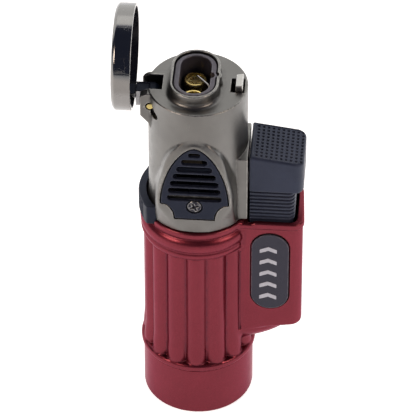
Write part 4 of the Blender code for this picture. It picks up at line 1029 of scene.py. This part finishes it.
BUTTON = paint(
    "black_button_plastic", (0.026, 0.032, 0.056), (0.012, 0.012, 0.014), (0.045, 0.05, 0.068),
    (0.36, 0.48), blotch=5.0, depth=0.8, relief=0.012, worn=0.7, dust_and_shade=0.6, scratched=0.35,
    Specular_IOR_Level=0.26, Specular_Tint=(0.66, 0.74, 1.0),
)
PLATE = paint(
    "black_satin_plate", (0.008, 0.008, 0.014), (0.03, 0.02, 0.024), (0.11, 0.1, 0.12),
    (0.26, 0.36), blotch=5.0, grain=0.25, worn=0.6, dust_and_shade=0.5, scratched=0.8,
    Specular_IOR_Level=0.42, Specular_Tint=(0.78, 0.76, 1.0),
)
PRINT = paint(
    "silver_print", (0.42, 0.42, 0.48), (0.2, 0.2, 0.22), (0.45, 0.45, 0.5), (0.4, 0.5), blotch=2.5,
    depth=0.85, grain=0.15, relief=0.004, worn=0.2, dust_and_shade=0.2, scratched=0.0, Metallic=0.3,
)
BRASS = paint(
    "brass", (0.56, 0.46, 0.18), (0.16, 0.1, 0.05), (0.75, 0.6, 0.35), (0.22, 0.34), blotch=2.5,
    depth=0.72, grain=0.15, relief=0.005, worn=0.6, scratched=0.6, Metallic=1.0,
)
STAR_BRASS = paint(
    "bright_brass", (0.98, 0.8, 0.32), (0.3, 0.2, 0.07), (1.0, 0.9, 0.55), (0.3, 0.42),
    blotch=2.5, depth=0.85, grain=0.15, relief=0.004, worn=0.6, scratched=0.3, Metallic=0.7,
)
STEEL = paint(
    "stainless_steel", (0.5, 0.49, 0.47), (0.14, 0.12, 0.1), (0.72, 0.71, 0.7), (0.24, 0.38),
    blotch=4.0, depth=0.82, grain=0.18, worn=0.6, scratched=0.8, Metallic=1.0,
)
BRASS_DARK_BELOW = paint(
    "burner_brass", (0.85, 0.66, 0.25), (0.02, 0.017, 0.014), (0.8, 0.62, 0.3), (0.2, 0.34),
    blotch=2.0, depth=0.6, scratched=0.0, dark_below=101.0, Metallic=1.0,
)
# dark brass, partly oxide and partly painted shade for the parts that lie in shade behind the
# cover's slots
OXIDE_AND_SHADE_BRASS = paint(
    "oxidised_brass_and_painted_shade", (0.03, 0.024, 0.017), (0.015, 0.012, 0.01), (0.3, 0.22, 0.1), (0.4, 0.6),
    depth=0.6, relief=0.008, worn=0.5, scratched=0.3, Metallic=0.9,
)
ARM_METAL = paint(
    "satin_steel", (0.3, 0.3, 0.31), (0.08, 0.08, 0.08), (0.5, 0.5, 0.5), (0.25, 0.4), depth=0.8,
    worn=0.6, Metallic=0.95,
)
SPRING = paint(
    "spring_steel", (0.4, 0.39, 0.38), (0.1, 0.09, 0.08), (0.6, 0.6, 0.6), (0.2, 0.34), blotch=1.5,
    grain=0.12, relief=0.004, scratched=0.6, Metallic=1.0,
)
SMOKED = paint(
    "smoked_plastic", (0.11, 0.1, 0.095), (0.04, 0.04, 0.04), (0.2, 0.2, 0.2), (0.14, 0.26),
    blotch=6.0, depth=0.8, grain=0.3, scratched=0.6, Transmission_Weight=0.45,
)
GREY = paint(
    "grey_acetal", (0.22, 0.22, 0.225), (0.08, 0.08, 0.08), (0.32, 0.32, 0.32), (0.38, 0.52),
    blotch=4.0, depth=0.85, grain=0.22, relief=0.01, scratched=0.4,
)
RUBBER = paint(
    "black_rubber", (0.03, 0.03, 0.032), (0.02, 0.02, 0.02), (0.07, 0.07, 0.07), (0.6, 0.78),
    depth=0.7, grain=0.18, relief=0.02, scratched=0.0, Sheen_Weight=0.15,
)
CERAMIC = paint(
    "white_ceramic", (0.72, 0.69, 0.62), (0.3, 0.24, 0.18), (0.8, 0.78, 0.72), (0.28, 0.42),
    blotch=2.0, depth=0.86, dust_and_shade=0.9, scratched=0.0,
)
LEAD_RED = paint(
    "red_silicone_lead", (0.36, 0.03, 0.025), (0.12, 0.02, 0.02), (0.45, 0.08, 0.07), (0.42, 0.56),
    depth=0.82, relief=0.008, scratched=0.0,
)

CARRIED = {
    SMOKED: ("fuel_tank",),
    # the chassis takes the black look as painted shade, where it shows through the cover's slots
    BLACK: ("bottom_cover", "piezo_plunger", "chassis"),
    GREY: ("piezo_body", "tank_cap"),
    BRASS: ("filler_valve",),
    BRASS_DARK_BELOW: ("gas_jet_front", "gas_jet_rear", "burner_tube_front", "burner_tube_rear"),
    OXIDE_AND_SHADE_BRASS: ("gas_valve", "gas_manifold"),
    STEEL: ("rocker_pin", "filler_stem", "valve_stem", "valve_rocker"),
    SPRING: ("catch_spring", "filler_spring", "lid_spring", "piezo_spring", "valve_spring"),
    RUBBER: ("filler_seal", "gas_hose"),
    LEAD_RED: ("ignition_lead",),
}

# ---- pieces


def stand(piece, nodes, slot, look, body="torch"):
    """Puts a piece on its body, in its nodes' stead."""
    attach(piece, body)
    if nodes:
        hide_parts(*nodes)
    piece.data.materials.clear()
    piece.data.materials.append(look)


def margin(low, high, room=0.3):
    return [v - room for v in low], [v + room for v in high]


def carve_node(name, node, field, step, share, slot, look, body="torch", room=0.3):
    piece = carve(name, field, *margin(*cad_box(node), room), step, share)
    stand(piece, [node], slot, look, body)


carve_node("body_shell", "body_casting", body_field, 0.30, 0.45, "red_paint", RED, room=0.6)
carve_node("head_casting", "head_shell", head_field, 0.24, 0.45, "gunmetal", GUNMETAL)
carve_node("vent_grille", "vent_cover", cover_field, 0.13, 0.5, "black_plastic", BLACK)
carve_node("vent_fixing", "vent_screw", vent_screw_field, 0.09, 0.6, "dark_metal", SCREW_BLACK)
carve_node("base_fixing", "base_screw", base_screw_field, 0.09, 0.6, "steel", STEEL)
carve_node("plate_blank", "name_plate", plate_field, 0.16, 0.5, "plate_black", PLATE)
carve_node("guard_cup", "wind_guard", guard_field, 0.17, 0.5, "dark_metal", GUARD_METAL)
carve_node("thumb_lever", "flame_lever", lever_field, 0.13, 0.6, "black_plastic", BLACK, "lever")
carve_node("latch", "lid_catch", catch_field, 0.13, 0.5, "steel", STEEL, "catch")
for side, which in ((-1, "front"), (1, "rear")):
    names = ("burner_star_" + which, "flame_spreader_" + which)
    carve_node(*names, spreader_field(side), 0.075, 0.6, "brass", STAR_BRASS, room=0.1)

marks = carve("plate_chevrons", plate_marks_field, *margin(PLATE_LOW, PLATE_HIGH), 0.1, 0.5)
stand(marks, [], "plate_black", PRINT)

cap_low, cap_high = (8.4, -CAP_Y - 0.2, 76.8), (CAP_X[1] + 0.2, CAP_Y + 0.2, 90.5)
cap = carve("button_cap", button_cap_field, cap_low, cap_high, 0.14, 0.6)
stand(cap, ["trigger_button"], "black_plastic", BUTTON, "trigger")
stem = carve("button_stem", button_stem_field, (14.4, -7.7, 57.3), (27.4, 7.7, 78.3), 0.2, 0.5)
stand(stem, ["trigger_button"], "black_plastic", BUTTON, "trigger")

LID_PROFILE = rounded_profile(
    [
        (0, LID_TOP), (LID_RADIUS - LID_CHAMFER, LID_TOP), (LID_RADIUS, LID_TOP - LID_CHAMFER),
        (LID_RADIUS, LID_BOTTOM), (LID_RADIUS - LID_WALL, LID_BOTTOM),
        (LID_RADIUS - LID_WALL, LID_TOP - LID_ROOF), (0, LID_TOP - LID_ROOF),
    ],
    [0, 0.35, 0.35, 0.12, 0.12, 0.4, 0],
)
lid = lathe("lid_shell", LID_PROFILE, sides=144, turn=LID_TURN)
stand(lid, ["lid_cap"], "polished_gunmetal", LID_METAL, "lid")
# the lid's inner faces take the black look as painted shade
lid.data.materials.append(PAINTED_SHADE_INSIDE)
for face in lid.data.polygons:
    spot = LID_TURN.inverted() @ (face.center / MM)
    if math.hypot(spot.x, spot.y) < LID_RADIUS - LID_WALL + 0.05 and spot.z < LID_TOP - 1.0:
        face.material_index = 1
arm_low, arm_high = (-16.0, -2.4, 101.8), (-8.2, 2.4, LID_TOP)
arm = carve("lid_hinge_arm", arm_field, arm_low, arm_high, 0.14, 0.6, LID_TURN)
stand(arm, ["lid_arm"], "dark_metal", ARM_METAL, "lid")
# the arm's up-facing faces take the black look, partly dark material and partly painted shade
arm.data.materials.append(BLACK)
for face in arm.data.polygons:
    if face.normal.z > 0.3:
        face.material_index = 1
shade_strip = carve("lid_arm_shade_strip", arm_shade_strip_field, arm_low, arm_high, 0.14, 0.6, LID_TURN)
stand(shade_strip, [], "dark_metal", BLACK, "lid")

PIN_LOW, PIN_HIGH = cad_box("lid_pin")
PIN_LENGTH = PIN_HIGH[1] - PIN_LOW[1]
PIN_RADIUS = 0.95
PIN_TURN = (
    Matrix.Translation((PIN[0], (PIN_LOW[1] + PIN_HIGH[1]) / 2, PIN[1]))
    @ Matrix.Rotation(math.radians(90), 4, "X")
)
PIN_PROFILE = rounded_profile(
    [
        (0, PIN_LENGTH / 2), (PIN_RADIUS, PIN_LENGTH / 2), (PIN_RADIUS, -PIN_LENGTH / 2),
        (0, -PIN_LENGTH / 2),
    ],
    [0, 0.2, 0.2, 0],
)
pin = lathe("hinge_pin", PIN_PROFILE, sides=40, turn=PIN_TURN)
stand(pin, ["lid_pin"], "brass", BRASS)

ELECTRODE = [
    (SPARK_X, 0, 86.6), (SPARK_X, 0, 97), (SPARK_X, 0, 106.4), (3.25, 0.1, 107.5),
    (2.8, 0.7, 108.0), (1.4, 2.2, 108.15), (-0.4, 4.2, 108.2),
]
stand(wire("spark_wire", ELECTRODE, 0.36), ["electrode"], "steel", STEEL)
RIB, GROOVE = 0.92, 0.78  # the insulator's radii
INSULATOR = [(0, 104.6), (0.55, 104.6), (0.8, 104.35)]
for groove in range(5):
    level = 103.6 - groove * 1.1
    INSULATOR += [(RIB, level + 0.25), (RIB, level - 0.25)]
    INSULATOR += [(GROOVE, level - 0.4), (GROOVE, level - 0.7)]
INSULATOR += [(RIB, 97.4), (RIB, 89.2), (0.8, 89.0), (0, 89.0)]
insulator = lathe("spark_insulator", INSULATOR, (SPARK_X, 0), 40)
stand(insulator, ["electrode_insulator"], "ceramic", CERAMIC)

for look, names in CARRIED.items():
    for node in names:
        places = NODES[node].material_slots
        if not places:
            raise RuntimeError(node + " has no material slot")
        for place in places:
            place.material = look

# ---- studio

WHITE = (1.0, 1.0, 1.0)
# the floor glows, less towards the front, whose reflection shades the upright faces
white = Look("studio_floor", Roughness=0.9)
soft = white.level(white.noise(60.0, 3.0), 0.3, 0.7, (0.86, 0.9))
grey = white.node("CombineColor", {0: soft, 1: soft, 2: soft}).outputs[0]
white.set(white.shader.inputs["Base Color"], grey)
white.set(white.shader.inputs["Emission Color"], WHITE)
place = white.node("SeparateXYZ", {"Vector": white.places}).outputs
front = white.level(place[1], -0.15, -0.09, (0.52, 1.0))
side = white.level(white.maths("ABSOLUTE", place[0]), 0.05, 0.12, (1.0, 1.25))
glow = white.times(white.times(front, side), 0.74)
white.set(white.shader.inputs["Emission Strength"], glow)
FLOOR_HALF = 3000.0
FLOOR_Z = -0.1
floor_corners = np.array([
    (u * FLOOR_HALF, v * FLOOR_HALF, FLOOR_Z) for u, v in ((-1, -1), (1, -1), (1, 1), (-1, 1))
])
floor = add("floor", mesh_of("floor", floor_corners, np.array([[0, 1, 2, 3]])))
floor.data.materials.append(white.material)

CAMERA_AZIMUTH = 4.3
CAMERA_ELEVATION = 41.4
CAMERA_DISTANCE = 1.15
AIM = Vector((2.7, 0.0, 64.3)) * MM


def aim_from(made, azimuth, elevation, distance):
    """Puts a camera or light in its direction from the aim, and turns it to face the aim."""
    azimuth, elevation = math.radians(azimuth), math.radians(elevation)
    level = math.cos(elevation)
    towards = Vector((math.sin(azimuth) * level, -math.cos(azimuth) * level, math.sin(elevation)))
    made.location = AIM + towards * distance
    made.rotation_euler = (AIM - made.location).to_track_quat("-Z", "Y").to_euler()


camera_data = bpy.data.cameras.new("camera")
camera_data.lens = 358.0
camera_data.sensor_width = 36.0
camera_data.clip_start = 0.01
camera = add("camera", camera_data)
aim_from(camera, CAMERA_AZIMUTH, CAMERA_ELEVATION, CAMERA_DISTANCE)
bpy.context.scene.camera = camera


def softbox(name, azimuth, elevation, distance, size, power, colour):
    data = bpy.data.lights.new(name, "AREA")
    data.shape = "RECTANGLE"
    data.size, data.size_y = size
    data.energy = power
    data.color = colour
    made = add(name, data)
    aim_from(made, azimuth, elevation, distance)
    made.visible_camera = False


WARM = (1.0, 0.82, 0.68)
softbox("left_box", -50.0, 32.0, 0.75, (0.3, 0.3), 2.6, WARM)
softbox("right_box", 58.0, 32.0, 0.75, (0.3, 0.3), 1.8, WARM)
softbox("top_box", 180.0, 60.0, 0.9, (0.8, 0.4), 0.5, (1.0, 0.97, 0.93))

world = bpy.data.worlds.new("studio")
world.use_nodes = True
bpy.context.scene.world = world
# dark and bluish in front, bright behind, which the up-facing metal reflects
sky = Graph(world.node_tree)
along = sky.node("SeparateXYZ", {0: sky.node("TexCoord").outputs["Generated"]}).outputs[1]
rise = sky.level(along, 0.22, 0.4, (0.08, 1.35), interpolation_type="SMOOTHSTEP")
tint = sky.mix(rise, (0.45, 0.55, 1.0), (1.0, 0.99, 0.97))
gradient = sky.node("Background", {"Color": tint, "Strength": rise}).outputs[0]
# the camera itself sees plain pale walls
walls = sky.node("Background", {"Color": WHITE, "Strength": 1.0}).outputs[0]
seen = sky.node("LightPath").outputs["Is Camera Ray"]
whole = sky.node("MixShader", {0: seen, 1: gradient, 2: walls}).outputs[0]
sky.set(sky.tree.nodes["World Output"].inputs["Surface"], whole)

bpy.context.scene.view_settings.view_transform = "Standard"
bpy.context.scene.view_settings.look = "None"
